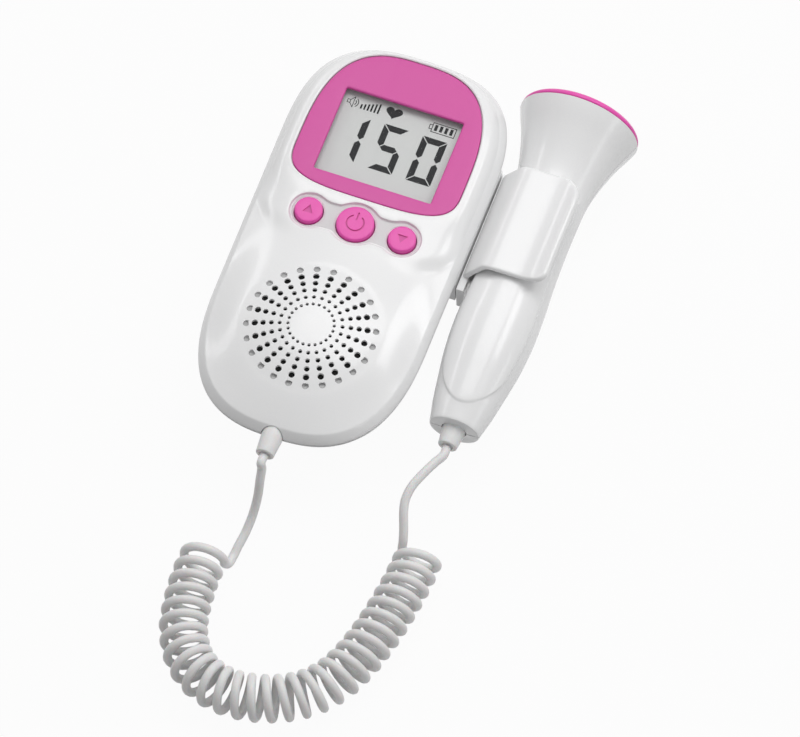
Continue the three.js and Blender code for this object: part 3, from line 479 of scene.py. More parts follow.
def carve(piece: Piece, bodies: Sequence[Body], operation: str = "DIFFERENCE",
          shading: Shading = Shading.SOFT) -> Piece:
    """Cuts bodies from a piece, joins them to it, or keeps what they share with it.

    Args:
        piece: the piece, a closed mesh.
        bodies: points and faces of each cutter.
        operation: DIFFERENCE, UNION or INTERSECT.
        shading: how the result's edges are shaded.

    Returns:
        The piece, as a plain mesh.
    """
    cutters = []
    for number, (points, faces) in enumerate(bodies):
        cutter = add_piece(f"cutter_{number}", points, faces, piece.data.materials[0])
        modifier = piece.modifiers.new(f"cut_{number}", "BOOLEAN")
        modifier.object = cutter
        modifier.operation = operation
        modifier.solver = "MANIFOLD"
        cutters.append(cutter)
    freeze(piece, shading)
    for cutter in cutters:
        mesh = cutter.data
        bpy.data.objects.remove(cutter)
        bpy.data.meshes.remove(mesh)
    return piece


class Plate:
    """A closed body over a triangulated plan, with an upper and a lower side that share their triangles."""

    def __init__(self) -> None:
        """Starts with no points."""
        self.plan: list[Points] = []
        self.upper: list[Points] = []
        self.lower: list[Points] = []
        self.edges: list[tuple[int, int]] = []
        self.count = 0

    def scatter(self, plan: Points, upper: Points, lower: Points) -> None:
        """Adds loose points.

        Args:
            plan: plan points.
            upper: their points on the upper side.
            lower: their points on the lower side.
        """
        self.plan.append(plan)
        self.upper.append(upper)
        self.lower.append(lower)
        self.count += len(plan)

    def ring(self, plan: Points, upper: Points, lower: Points) -> None:
        """Adds a closed loop whose edges the triangles keep to.

        Args:
            plan: the loop's plan points.
            upper: its points on the upper side.
            lower: its points on the lower side.
        """
        start, size = self.count, len(plan)
        self.edges.extend((start + i, start + (i + 1) % size) for i in range(size))
        self.scatter(plan, upper, lower)

    def spaced(self, plan: Points, distance: float) -> Points:
        """Finds plan points that lie clear of every point so far.

        Args:
            plan: plan points.
            distance: the least distance.

        Returns:
            Which of them do.
        """
        tree = kdtree.KDTree(self.count)
        for i, (x, y) in enumerate(np.vstack(self.plan)):
            tree.insert((x, y, 0), i)
        tree.balance()
        return np.array([tree.find((x, y, 0))[2] >= distance for x, y in plan], bool)

    def body(self, keep: Callable[[Points, Points], Points]) -> Body:
        """Triangulates the plan and closes the body.

        Args:
            keep: says for plan points, given as x and y, which lie on the plate.

        Returns:
            Points and faces.
        """
        plan, upper, lower = (np.vstack(rows) for rows in (self.plan, self.upper, self.lower))
        found = delaunay_2d_cdt([Vector(p) for p in plan], self.edges, [], 0, 1e-5)
        source = np.array([origin[0] if origin else -1 for origin in found[3]])
        made = np.array([list(v) for v in found[0]])
        if (source < 0).any():
            LOG.warning("%d plan edges cross", int((source < 0).sum()))
            for i in np.nonzero(source < 0)[0]:
                source[i] = int(np.argmin(np.linalg.norm(plan - made[i], axis=1)))
        triangles = np.array([face for face in found[2] if len(face) == 3])
        middle = made[triangles].mean(axis=1)
        triangles = triangles[keep(middle[:, 0], middle[:, 1])]
        first, second, third = (made[triangles[:, corner]] for corner in range(3))
        turn = np.cross(second - first, third - first)
        triangles[turn < 0] = triangles[turn < 0][:, ::-1]
        used, flat = np.unique(triangles, return_inverse=True)
        triangles = flat.reshape(triangles.shape)
        size = len(used)
        points = np.vstack([upper[source[used]], lower[source[used]]])
        faces: list[Face] = [tuple(t) for t in triangles]
        faces += [(c + size, b + size, a + size) for a, b, c in triangles]
        directed = {(int(t[corner]), int(t[(corner + 1) % 3])) for t in triangles for corner in range(3)}
        faces += [(b, a, a + size, b + size) for a, b in directed if (b, a) not in directed]
        return points, faces


def everywhere(x: Points, y: Points) -> Points:
    """Says for plan points that all of them lie on a plate."""
    return np.ones(len(x), bool)


def hex_points(x0: float, x1: float, y0: float, y1: float, spacing: float) -> Points:
    """Fills a rectangle with points in a hexagonal pattern.

    Args:
        x0: where it starts across.
        x1: where it ends across.
        y0: where it starts along.
        y1: where it ends along.
        spacing: the distance between points.

    Returns:
        The points.
    """
    rows = []
    step = spacing * math.sqrt(3) / 2
    for number, y in enumerate(np.arange(y0, y1, step)):
        shift = spacing / 2 if number % 2 else 0.0
        x = np.arange(x0 + shift, x1, spacing)
        rows.append(np.column_stack([x, np.full_like(x, y)]))
    return np.vstack(rows)


class Graph:
    """A node tree under construction."""

    def __init__(self, tree: bpy.types.NodeTree) -> None:
        """Takes a tree, which may hold nodes."""
        self.tree = tree

    def fill(self, node: bpy.types.Node, inputs: dict[str | int, object]) -> None:
        """Sets or links inputs of a node.

        Args:
            node: the node.
            inputs: a value, a socket or a list of sockets for each input's name or number.
        """
        for name, value in inputs.items():
            sources = value if isinstance(value, list) else [value]
            if isinstance(sources[0], Socket):
                for source in sources:
                    self.tree.links.new(source, node.inputs[name])
            else:
                node.inputs[name].default_value = value

    def add(self, kind: str, inputs: dict[str | int, object] | None = None, output: str | int = 0,
            **settings: object) -> Socket:
        """Adds a node.

        Args:
            kind: the node's type.
            inputs: what its inputs get, as in fill.
            output: which output is wanted.
            settings: properties of the node.

        Returns:
            The output socket.
        """
        node = self.tree.nodes.new(kind)
        for name, value in settings.items():
            setattr(node, name, value)
        self.fill(node, inputs or {})
        return node.outputs[output]

    def math(self, operation: str, *values: float | Socket) -> Socket:
        """Works out one number from others."""
        return self.add("ShaderNodeMath", dict(enumerate(values)), operation=operation)

    def place(self, kind: str = "Object") -> Socket:
        """Each point's place on the object, or in another of the Texture Coordinate node's ways."""
        return self.add("ShaderNodeTexCoord", output=kind)

    def noise(self, place: Socket, scale: float | Socket, detail: float = 2.0) -> Socket:
        """Cloudy grey noise over a place."""
        return self.add("ShaderNodeTexNoise", {"Vector": place, "Scale": scale, "Detail": detail}, "Fac")

    def stretched(self, place: Socket, scale: Triple, turn: Triple = (0.0, 0.0, 0.0)) -> Socket:
        """A place scaled and turned about X, Y and Z."""
        return self.add("ShaderNodeMapping", {"Vector": place, "Scale": scale, "Rotation": turn})

    def ranged(self, value: Socket, low: float, high: float, to_low: float = 0.0, to_high: float = 1.0,
               **settings: object) -> Socket:
        """Carries a number from one range over to another.

        Args:
            value: the number.
            low: where the first range starts.
            high: where the first range ends.
            to_low: where the second range starts.
            to_high: where the second range ends.
            settings: properties of the node.

        Returns:
            The number in the second range.
        """
        return self.add("ShaderNodeMapRange", {
            "Value": value, "From Min": low, "From Max": high, "To Min": to_low, "To Max": to_high},
            **settings)


class ShaderGroup(Graph):
    """A shader node group with named number inputs and outputs, under construction."""

    def __init__(self, name: str, inputs: dict[str, float], outputs: Sequence[str]) -> None:
        """Makes the group's sockets.

        Args:
            name: the group's name.
            inputs: the inputs' names and first values.
            outputs: the outputs' names.
        """
        super().__init__(bpy.data.node_groups.new(name, "ShaderNodeTree"))
        for socket, value in inputs.items():
            made = self.tree.interface.new_socket(socket, in_out="INPUT", socket_type="NodeSocketFloat")
            made.default_value = value
        for socket in outputs:
            self.tree.interface.new_socket(socket, in_out="OUTPUT", socket_type="NodeSocketFloat")
        self.inputs = self.tree.nodes.new("NodeGroupInput").outputs

    def finished(self, outputs: dict[str | int, object]) -> bpy.types.ShaderNodeTree:
        """Links the group's outputs and gives its tree."""
        self.fill(self.tree.nodes.new("NodeGroupOutput"), outputs)
        return self.tree


class ShaderGroups:
    """Shader node groups that several finishes place with their own values."""

    def __init__(self) -> None:
        """Builds each group once."""
        self.grain = self._grain()
        self.handling = self._handling()
        self.weave = self._weave()

    @staticmethod
    def _grain() -> bpy.types.ShaderNodeTree:
        """Fine moulded grain over a slow ripple of the wall.

        Returns:
            The group, with the grain's height and its speckle.
        """
        group = ShaderGroup("Moulded grain", {"Grain scale": 3000, "Ripple scale": 90, "Ripple share": 0.5},
                            ("Height", "Speckle"))
        place = group.place()
        fine = group.noise(place, group.inputs["Grain scale"], 3.0)
        slow = group.noise(place, group.inputs["Ripple scale"], 1.0)
        height = group.add("ShaderNodeMix", {
            "Factor": group.inputs["Ripple share"], "A": fine, "B": slow}, "Result")
        return group.finished({"Height": height, "Speckle": fine})

    @staticmethod
    def _handling() -> bpy.types.ShaderNodeTree:
        """Soft patches where hands have dulled the gloss, with a few hairline rubs.

        Returns:
            The group, with the dulling.
        """
        group = ShaderGroup("Handling marks", {"Patch scale": 40, "Rub scale": 400}, ("Dulling",))
        place = group.place()
        patches = group.noise(place, group.inputs["Patch scale"])
        lines = group.noise(group.stretched(place, (1, 0.04, 1), (0.3, 0.2, 0.9)), group.inputs["Rub scale"])
        rubs = group.ranged(lines, 0.58, 0.8)
        return group.finished({"Dulling": group.math("MULTIPLY_ADD", patches, 0.5, rubs)})

    @staticmethod
    def _weave() -> bpy.types.ShaderNodeTree:
        """Over and under threads of a plain cloth.

        Returns:
            The group, with the threads' height.
        """
        group = ShaderGroup("Plain weave", {"Threads per metre": 4000}, ("Height",))
        threads = {"Vector": group.place(), "Scale": group.inputs["Threads per metre"]}
        waves = [group.add("ShaderNodeTexWave", threads, "Fac", bands_direction=way) for way in "XY"]
        return group.finished({"Height": group.math("MULTIPLY", *waves)})


class Pattern(Enum):
    """What a finish's surface shows close up."""

    MOULDED = "moulded grain"
    WOVEN = "plain weave"
    BRUSHED = "drawn lines"
    BOARD = "board tracks"
    SLEEVE = "printed sleeve"
    SPECKLED = "sintered speckle"


@dataclass(frozen=True)
class Finish:
    """One procedural finish: colour in linear light, gloss, and close-up detail."""

    name: str
    colour: Triple
    second: Triple
    roughness: float
    pattern: Pattern = Pattern.MOULDED
    metallic: float = 0.0
    coat: float = 0.0
    grain_scale: float = 3000.0
    grain_height: float = 0.02
    ripple_share: float = 0.5
    dulling: float = 0.06
    ripple_scale: float = 90.0
    coat_roughness: float = 0.06
    subsurface: float = 0.0
    subsurface_depth: float = 2.0
    specular: float = 0.5

    def material(self, groups: ShaderGroups) -> Material:
        """Builds the node tree.

        Args:
            groups: the shared shader groups.

        Returns:
            The material.
        """
        material = bpy.data.materials.new(self.name)
        material.use_nodes = True
        material.diffuse_color = (*self.colour, 1)
        graph = Graph(material.node_tree)
        tint, height = self._detail(graph, groups)
        colour = graph.add("ShaderNodeMix", {
            "Factor": tint, "A": (*self.colour, 1), "B": (*self.second, 1)}, "Result", data_type="RGBA")
        dulling = graph.add("ShaderNodeGroup", None, "Dulling", node_tree=groups.handling)
        bump = graph.add("ShaderNodeBump", {
            "Strength": 1.0, "Distance": self.grain_height * MM, "Height": height}, "Normal")
        graph.fill(material.node_tree.nodes["Principled BSDF"], {
            "Base Color": colour, "Metallic": self.metallic, "Specular IOR Level": self.specular,
            "Roughness": graph.math("MULTIPLY_ADD", dulling, self.dulling, self.roughness),
            "Coat Weight": self.coat, "Coat Roughness": self.coat_roughness,
            "Subsurface Weight": self.subsurface, "Subsurface Scale": self.subsurface_depth * MM,
            "Normal": bump})
        return material

    def _detail(self, graph: Graph, groups: ShaderGroups) -> tuple[Socket, Socket]:
        """Builds the finish's pattern.

        Args:
            graph: the material's nodes.
            groups: the shared shader groups.

        Returns:
            The pattern's tint mask and its height.
        """
        if self.pattern in (Pattern.MOULDED, Pattern.SPECKLED):
            grain = graph.add("ShaderNodeGroup", {
                "Grain scale": self.grain_scale, "Ripple scale": self.ripple_scale,
                "Ripple share": self.ripple_share}, "Height", node_tree=groups.grain)
            return graph.ranged(grain.node.outputs["Speckle"], 0.35, 0.65), grain
        if self.pattern is Pattern.WOVEN:
            threads = {"Threads per metre": self.grain_scale}
            detail = graph.add("ShaderNodeGroup", threads, "Height", node_tree=groups.weave)
        elif self.pattern is Pattern.BRUSHED:
            detail = graph.noise(graph.stretched(graph.place(), (1, 0.05, 1)), self.grain_scale, 4.0)
        elif self.pattern is Pattern.SLEEVE:
            along = graph.add("ShaderNodeSeparateXYZ", {"Vector": graph.place()}, "Y")
            detail = graph.ranged(along, 0.0195, 0.02)
        else:
            detail = graph.add("ShaderNodeTexBrick", {
                "Vector": graph.place(), "Scale": self.grain_scale, "Mortar Size": 0.06,
                "Color1": (0, 0, 0, 1), "Color2": (0.3, 0.3, 0.3, 1), "Mortar": (1, 1, 1, 1)}, "Fac")
        return detail, detail


@dataclass(frozen=True)
class ClearSheet:
    """A clear acrylic sheet that passes light straight on, with a painted white sheen over its real gloss."""

    name: str = "clear window"
    # The white that shows more at a low slant is painted sheen
    colour: Triple = (0.9, 0.93, 0.93)
    roughness: float = 0.06
    specular: float = 0.2
    refraction: float = 1.45
    least_alpha: float = 0.005
    most_alpha: float = 0.25

    def material(self) -> Material:
        """Builds the node tree, in which more of the sheet's white shows at a low slant, as painted sheen.

        Returns:
            The material.
        """
        material = bpy.data.materials.new(self.name)
        material.use_nodes = True
        graph = Graph(material.node_tree)
        facing = graph.add("ShaderNodeFresnel", {"IOR": self.refraction})
        graph.fill(material.node_tree.nodes["Principled BSDF"], {
            "Base Color": (*self.colour, 1), "Roughness": self.roughness, "Specular IOR Level": self.specular,
            "Alpha": graph.ranged(facing, 0.0, 1.0, self.least_alpha, self.most_alpha)})
        return material


FINISHES = {
    "white_gloss": Finish("glossy white case", (0.86, 0.86, 0.862), (0.845, 0.845, 0.85), 0.24, coat=0.25,
                          grain_scale=2500, grain_height=0.003, ripple_share=0.3, dulling=0.012),
    "pink_plate": Finish("satin pink plate", (0.65, 0.08, 0.355), (0.63, 0.075, 0.34), 0.42,
                         grain_height=0.012, grain_scale=4000, ripple_share=0.1),
    "pink_button": Finish("satin pink button", (0.81, 0.075, 0.43), (0.79, 0.07, 0.415), 0.36,
                          grain_height=0.008, grain_scale=4000, ripple_share=0.1, coat=0.1),
    "display_grey": Finish("grey display", (0.61, 0.62, 0.612), (0.59, 0.6, 0.592), 0.35, grain_scale=2500,
                           grain_height=0.003),
    "display_ink": Finish("dark display segment", (0.01, 0.01, 0.012), (0.014, 0.014, 0.016), 0.4,
                          grain_height=0.002, specular=0.08),
    "inner_white": Finish("plain white inner part", (0.72, 0.72, 0.71), (0.66, 0.66, 0.65), 0.6,
                          grain_height=0.03, grain_scale=2000),
    # Grey of the thin sheet over the button recess floor: painted shade in the recess
    "key_film": Finish("pale grey keypad skirt", (0.66, 0.655, 0.66), (0.64, 0.635, 0.64), 0.34,
                       grain_height=0.004, grain_scale=2500, ripple_share=0.2, dulling=0.02),
    # Grey of the plugs in the outer ring's dimples: painted shade in the dimples
    "dimple_grey": Finish("mid grey plug", (0.47, 0.47, 0.47), (0.45, 0.45, 0.45), 0.5, grain_height=0.004,
                          grain_scale=2500, ripple_share=0.2, dulling=0.02),
    "black_plastic": Finish("matt black plastic", (0.012, 0.012, 0.013), (0.02, 0.02, 0.021), 0.55,
                            grain_height=0.02),
    "black_cloth": Finish("black dust cloth", (0.004, 0.004, 0.004), (0.012, 0.012, 0.012), 0.9,
                          Pattern.WOVEN, grain_scale=3500, grain_height=0.05),
    "board_green": Finish("green circuit board", (0.01, 0.13, 0.04), (0.03, 0.26, 0.09), 0.35, Pattern.BOARD,
                          grain_scale=160, grain_height=0.03),
    "steel": Finish("plated steel", (0.62, 0.62, 0.63), (0.5, 0.5, 0.52), 0.28, Pattern.BRUSHED, metallic=1.0,
                    grain_scale=2500, grain_height=0.01),
    "cell_sleeve": Finish("two-colour cell sleeve", (0.02, 0.05, 0.09), (0.5, 0.5, 0.5), 0.28, Pattern.SLEEVE,
                          coat=0.4, grain_height=0.01),
    "ceramic": Finish("sintered ceramic", (0.62, 0.52, 0.32), (0.5, 0.41, 0.25), 0.45, Pattern.SPECKLED,
                      grain_height=0.02, ripple_share=0.0),
    "cord_white": Finish("soft white sheath", (0.8, 0.8, 0.798), (0.77, 0.77, 0.768), 0.42, grain_scale=2200,
                         grain_height=0.01, ripple_share=0.2, subsurface=0.15),
}


class Palette:
    """Every material of the object, built once and found by the record's slot."""

    def __init__(self) -> None:
        """Builds the shared groups and the materials."""
        groups = ShaderGroups()
        self.materials = {slot: finish.material(groups) for slot, finish in FINISHES.items()}
        self.materials["clear_lens"] = ClearSheet().material()

    def __getitem__(self, slot: str) -> Material:
        """The material of a slot."""
        return self.materials[slot]

    def dress_cad_nodes(self) -> None:
        """Gives every shown CAD node the finish of its slot in the record."""
        slots = {part["node"]: part["material_slot"] for part in frame["record"]["subparts"]}
        for name, node in frame["nodes"].items():
            material = self.materials[slots[name]]
            node.data.materials.clear()
            node.data.materials.append(material)


@dataclass
class Studio:
    """Camera, lamps, floor and world, at the photograph's angle."""

    image_width: int = 800
    image_height: int = 737
    pixels_per_mm: float = 3.29
    lens_mm: float = 1000.0
    sensor_mm: float = 36.0
    azimuth: float = 21.64
    elevation: float = 61.86
    roll: float = 1.68
    grille_pixel: Pair = (311.05, 323.85)
    grille_height: float = 35.5
    sky_axis: Triple = (0.0, 0.45, 0.893)
    sky_turn: Pair = (-0.3, 1.0)
    sky_strength: Pair = (0.15, 0.54)
    floor_reach: float = 1.5
    floor_drop: float = 0.0003
    floor_white: float = 0.95

    def camera(self) -> None:
        """Sets the camera so that the grille's middle falls on its pixel of the photograph."""
        a, e, r = (math.radians(v) for v in (self.azimuth, self.elevation, self.roll))
        back = np.array([math.sin(a) * math.cos(e), -math.cos(a) * math.cos(e), math.sin(e)])
        across = np.array([math.cos(a), math.sin(a), 0.0])
        upward = np.cross(back, across)
        right = across * math.cos(r) - upward * math.sin(r)
        up = upward * math.cos(r) + across * math.sin(r)
        grille = DATUM.row([[0, GRILLE_Y, self.grille_height]])[0]
        shift_right = (self.image_width / 2 - self.grille_pixel[0]) / self.pixels_per_mm * MM
        shift_down = (self.image_height / 2 - self.grille_pixel[1]) / self.pixels_per_mm * MM
        middle = grille + right * shift_right - up * shift_down
        distance = self.lens_mm / self.sensor_mm * self.image_width / self.pixels_per_mm * MM
        data = bpy.data.cameras.new("camera")
        data.lens, data.sensor_width = self.lens_mm, self.sensor_mm
        data.clip_start, data.clip_end = 0.1, 100
        camera = bpy.data.objects.new("camera", data)
        turn = Matrix([[right[i], up[i], back[i]] for i in range(3)]).to_4x4()
        camera.matrix_world = Matrix.Translation(Vector(middle + back * distance)) @ turn
        bpy.context.scene.collection.objects.link(camera)
        bpy.context.scene.camera = camera

    def lamp(self, name: str, place: Sequence[float], aim: Sequence[float], size: Pair, power: float) -> None:
        """Adds a soft rectangular lamp.

        Args:
            name: its name.
            place: where it hangs, in metres.
            aim: the point that it is aimed at.
            size: its width and length.
            power: its power in watts.
        """
        data = bpy.data.lights.new(name, "AREA")
        data.shape = "RECTANGLE"
        data.size, data.size_y = size
        data.energy = power
        lamp = bpy.data.objects.new(name, data)
        lamp.location = place
        back = (Vector(place) - Vector(aim)).normalized()
        across = Vector((0, 1, 0)).cross(back).normalized()
        turn = Matrix((across, back.cross(across), back)).transposed()
        lamp.rotation_euler = turn.to_euler()
        bpy.context.scene.collection.objects.link(lamp)

    def lamps(self) -> None:
        """A broad lamp overhead, strips along the unit on both sides, and a low fill from the front."""
        self.lamp("overhead", (0.0, 0.35, 0.9), (0, 0, 0), (0.6, 0.5), 2.7)
        self.lamp("left strip", (-0.62, 0.3, 0.5), (0, 0, 0.02), (0.1, 0.7), 0.8)
        self.lamp("right strip", (0.42, 0.36, 0.66), (0.02, 0, 0.02), (0.2, 0.4), 1.15)
        self.lamp("right side", (0.75, -0.1, 0.3), (0.05, 0, 0.02), (0.15, 0.7), 0.6)
        self.lamp("front fill", (0.1, -0.8, 0.5), (0, -0.05, 0), (0.8, 0.3), 0.15)

    @staticmethod
    def _seen_directly(graph: Graph) -> Socket:
        """Tells rays that meet the surround directly, or through a mirror or a clear sheet, from the rest.

        Args:
            graph: the nodes of the surround's material or of the world.

        Returns:
            1 for those rays, otherwise 0.
        """
        paths = graph.tree.nodes.new("ShaderNodeLightPath").outputs
        mirrored = graph.math("MAXIMUM", paths["Is Camera Ray"], paths["Is Glossy Ray"])
        return graph.math("MAXIMUM", mirrored, paths["Is Transmission Ray"])

    def world(self) -> None:
        """A surround that is bright above and behind, dim in front, and pure white where it is seen."""
        world = bpy.data.worlds.new("studio")
        bpy.context.scene.world = world
        world.use_nodes = True
        world.node_tree.nodes.clear()
        graph = Graph(world.node_tree)
        slant = graph.add("ShaderNodeVectorMath", {0: graph.place("Generated"), 1: self.sky_axis}, "Value",
                          operation="DOT_PRODUCT")
        strength = graph.ranged(slant, *self.sky_turn, *self.sky_strength, interpolation_type="SMOOTHSTEP")
        light = graph.add("ShaderNodeBackground", {"Color": (1, 1, 1, 1), "Strength": strength})
        seen = graph.add("ShaderNodeBackground", {"Color": (1, 1, 1, 1)})
        mix = graph.add("ShaderNodeMixShader", {0: self._seen_directly(graph), 1: light, 2: seen})
        graph.fill(world.node_tree.nodes.new("ShaderNodeOutputWorld"), {"Surface": mix})

    def floor(self) -> None:
        """A plain pale floor: mostly its own white where it is seen, with a faint shadow."""
        reach = self.floor_reach
        corners = [(x * reach, y * reach, 0) for x, y in ((-1, -1), (1, -1), (1, 1), (-1, 1))]
        mesh = bpy.data.meshes.new("floor")
        mesh.from_pydata(corners, [], [(0, 1, 2, 3)])
        floor = bpy.data.objects.new("floor", mesh)
        floor.location.z = -self.floor_drop
        bpy.context.scene.collection.objects.link(floor)
        material = bpy.data.materials.new("pale floor")
        material.use_nodes = True
        nodes = material.node_tree.nodes
        graph = Graph(material.node_tree)
        shade_side = nodes["Principled BSDF"]
        graph.fill(shade_side, {
            "Base Color": (0.6, 0.6, 0.6, 1), "Roughness": 0.9, "Specular IOR Level": 0.0})
        share = graph.math("MULTIPLY", self._seen_directly(graph), self.floor_white)
        white = graph.add("ShaderNodeEmission")
        mix = graph.add("ShaderNodeMixShader", {0: share, 1: shade_side.outputs["BSDF"], 2: white})
        graph.fill(nodes["Material Output"], {"Surface": mix})
        mesh.materials.append(material)

    def build(self) -> None:
        """Sets up everything that isn't the object."""
        self.camera()
        self.lamps()
        self.world()
        self.floor()
        bpy.context.scene.view_settings.view_transform = "Standard"


@dataclass
class CurlyCord:
    """The cord: two leads and a right-handed coil, as one tube along one path."""

    palette: Palette
    radius: float = CORD_DIAMETER / 2
    sides: int = 12
    coil_radius: float = 6.2
    coil_turns: int = 30
    steps_per_turn: int = 28
    axis_steps: int = 60
    lead_steps: int = 8
    # How many of the coil's points a lead's curve is drawn through, and how many lie on a turn
    picks: int = 3
    picks_per_turn: int = 8
    axis_height: float = 7.7
    start_phase: float = -0.3
    unit_exit: Triple = (0, -75.7, 24)
    probe_exit: Triple = (50.3, -52, 19.3)
    blend_line: tuple[Triple, ...] = ((47, -79, 15), (52.7, -61, 15))
    axis_points: tuple[Pair, ...] = (
        (-8.2, -105.2), (-8.5, -110.6), (-8.4, -116), (-7.9, -121), (-7.1, -126.2), (-5.8, -131.4),
        (-3.5, -136.3), (-0.5, -140.5), (3.5, -143.9), (8.4, -146.2), (14.8, -147.3), (21.6, -146.7),
        (29.7, -144.2), (37.2, -139.6), (43, -132.9), (46.7, -125.1), (49.1, -116.9), (51, -107.4),
        (52.4, -96.9), (53, -89), (53.1, -83.2))
    entry_points: tuple[Triple, ...] = ((-0.8, -97.3, 3.2), (-1.2, -100.4, 2.2), (-1.6, -103.6, 2.6))
    exit_points: tuple[Triple, ...] = ((47, -81.9, 9.5), (46.5, -80, 11.6), (45.7, -77.7, 13.5))
    unit_lead_points: tuple[Triple, ...] = (
        (0.4, -78.9, 22.4), (0.7, -81.6, 18.6), (0.9, -84.4, 13.4), (0.6, -88.2, 8.2), (0, -92.8, 4.9))
    probe_lead_points: tuple[Triple, ...] = (
        (44.9, -75.5, 15.2), (44.2, -72.2, 16.8), (44.6, -68.2, 18.1), (46.4, -63.2, 18.9),
        (48.6, -58.2, 19.2))

    def coil(self) -> Points:
        """Carries a circle along the coil's own bent axis.

        Returns:
            The coil's centreline.
        """
        steps = self.coil_turns * self.steps_per_turn
        axis = by_length(spline(self.axis_points, self.axis_steps), steps + 1)
        tangent = np.gradient(axis, axis=0)
        side = np.column_stack([-tangent[:, 1], tangent[:, 0]])
        side /= np.linalg.norm(side, axis=1)[:, None]
        phase = self.start_phase + 2 * math.pi * np.arange(steps + 1) / self.steps_per_turn
        flat = axis + side * (self.coil_radius * np.cos(phase))[:, None]
        return np.column_stack([flat, self.axis_height + self.coil_radius * np.sin(phase)])

    def path(self) -> Points:
        """Joins the unit's lead, the coil and the probe's lead.

        Returns:
            The whole centreline, from the unit's gland to the probe's.
        """
        coil = self.coil()
        unit_exit, probe_exit = np.array(self.unit_exit, float), np.array(self.probe_exit, float)
        along = np.array([0, CORD_DIAMETER, 0])
        first = [unit_exit, unit_exit - along, *np.array(self.unit_lead_points), *np.array(self.entry_points)]
        last = [*np.array(self.exit_points), *np.array(self.probe_lead_points), probe_exit - along,
                probe_exit]
        few, picks = coil[::self.steps_per_turn // self.picks_per_turn], self.picks
        shared = (picks - 1) * self.lead_steps
        start = spline([*first, *few[:picks]], self.lead_steps)[:-shared]
        end = spline([*few[-picks:], *last], self.lead_steps)[shared:]
        return np.vstack([start, coil, end])

    def build(self) -> None:
        path = self.path()
        side = np.array([0.0, 0.0, 1.0])
        rings = []
        tangents = np.gradient(path, axis=0)
        angle = np.linspace(0, 2 * math.pi, self.sides, endpoint=False)
        for point, tangent in zip(path, tangents):
            tangent = tangent / np.linalg.norm(tangent)
            side = side - tangent * side.dot(tangent)
            side /= np.linalg.norm(side)
            other = np.cross(tangent, side)
            ring = np.outer(np.cos(angle), side) + np.outer(np.sin(angle), other)
            rings.append(point + self.radius * ring)
        piece = add_piece("curly_cord", *loft(rings), self.palette["cord_white"], Shading.ROUND)
        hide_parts("coiled_cord", "unit_cord_lead", "probe_cord_lead")
        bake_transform(piece)


@dataclass(frozen=True)
class Gland:
    """A tapered cord sleeve with a neck through the wall and a flange behind it."""

    x: float
    z: float
    face: float
    neck: float
    length: float
    radius: float
    tip_radius: float
    flange_radius: float = 4.6
    flange_thickness: float = 1.4
    mouth_radius: float = 1.75
    mouth_taper: float = 0.1
    mouth_depth: float = 0.6
    edge: float = 0.5
    overrun: float = 3.0
    overlap: float = 0.1

    def seat(self) -> list[Body]:
        """Cutters for its way through a wall.

        Returns:
            A bore and a wider slot for its flange.
        """
        seat = self.face + self.neck
        slot_end = seat + self.flange_thickness + 2 * CLEARANCE
        return [post_body(self.x, self.z, self.face - self.overrun, seat + self.overlap,
                          self.radius + CLEARANCE, "Y"),
                post_body(self.x, self.z, seat, slot_end, self.flange_radius + CLEARANCE, "Y")]

    def build(self, name: str, node: str, body: str, palette: Palette) -> None:
        """Makes the sleeve in the place of its CAD node.

        Args:
            name: the piece's name.
            node: the CAD node that it replaces.
            body: the body that it rides on.
            palette: every material of the object.
        """
        flange, tip = self.neck + CLEARANCE, -self.length
        back, mouth = flange + self.flange_thickness, tip + self.mouth_depth
        profile = rounded([
            (0, mouth), (self.mouth_radius - self.mouth_taper, mouth), (self.mouth_radius, tip),
            (self.tip_radius, tip), (self.radius, -CLEARANCE), (self.radius, flange),
            (self.flange_radius, flange), (self.flange_radius, back), (0, back)], self.edge, 5)
        points, faces = lathe(profile, self.x, self.face, self.z, "Y", 64)
        piece = add_piece(name, points, faces, palette["cord_white"])
        dress(piece, body, "cord_white", node)


UNIT_GLAND = Gland(0.0, PARTING_HEIGHT, UNIT_BOTTOM_Y, 8.0, 6.4, 3.4, 2.9)
PROBE_GLAND = Gland(PROBE_X, PROBE_Z, PROBE_START_Y, 2.0, 6.0, 3.7, 3.0)

UNIT = Outline(34.2, (30, 39, 2.95), (-24, 45, 2.65))
BEZEL = Outline(27, (27, 37.3, 2.95), (27, 13, 3.6))
CREASE_INSET = 2.1
CREASE_HEIGHT = 27.7
WINDOW_Y = 34.3
WINDOW_WIDTH = 38.0
WINDOW_HEIGHT = 29.8


def within(loop: Points, x: Points, y: Points) -> Points:
    """Tells which points lie inside a closed loop.

    Args:
        loop: the loop.
        x: the points' places across.
        y: the points' places along.

    Returns:
        True for each such point.
    """
    inside = np.zeros(len(x), bool)
    for (x0, y0), (x1, y1) in zip(loop, np.roll(loop, -1, axis=0)):
        if y0 != y1:
            crosses = (y0 > y) != (y1 > y)
            inside ^= crosses & (x < (x1 - x0) * (y - y0) / (y1 - y0) + x0)
    return inside


def inside_any(loops: Sequence[Points], x: Points, y: Points) -> Points:
    """Which points lie inside one closed loop or another."""
    return np.any([within(loop, x, y) for loop in loops], axis=0)


def raised(plan: Points, height: Points | float) -> Points:
    """Plan points at a height."""
    return np.column_stack([plan, np.broadcast_to(height, len(plan))])


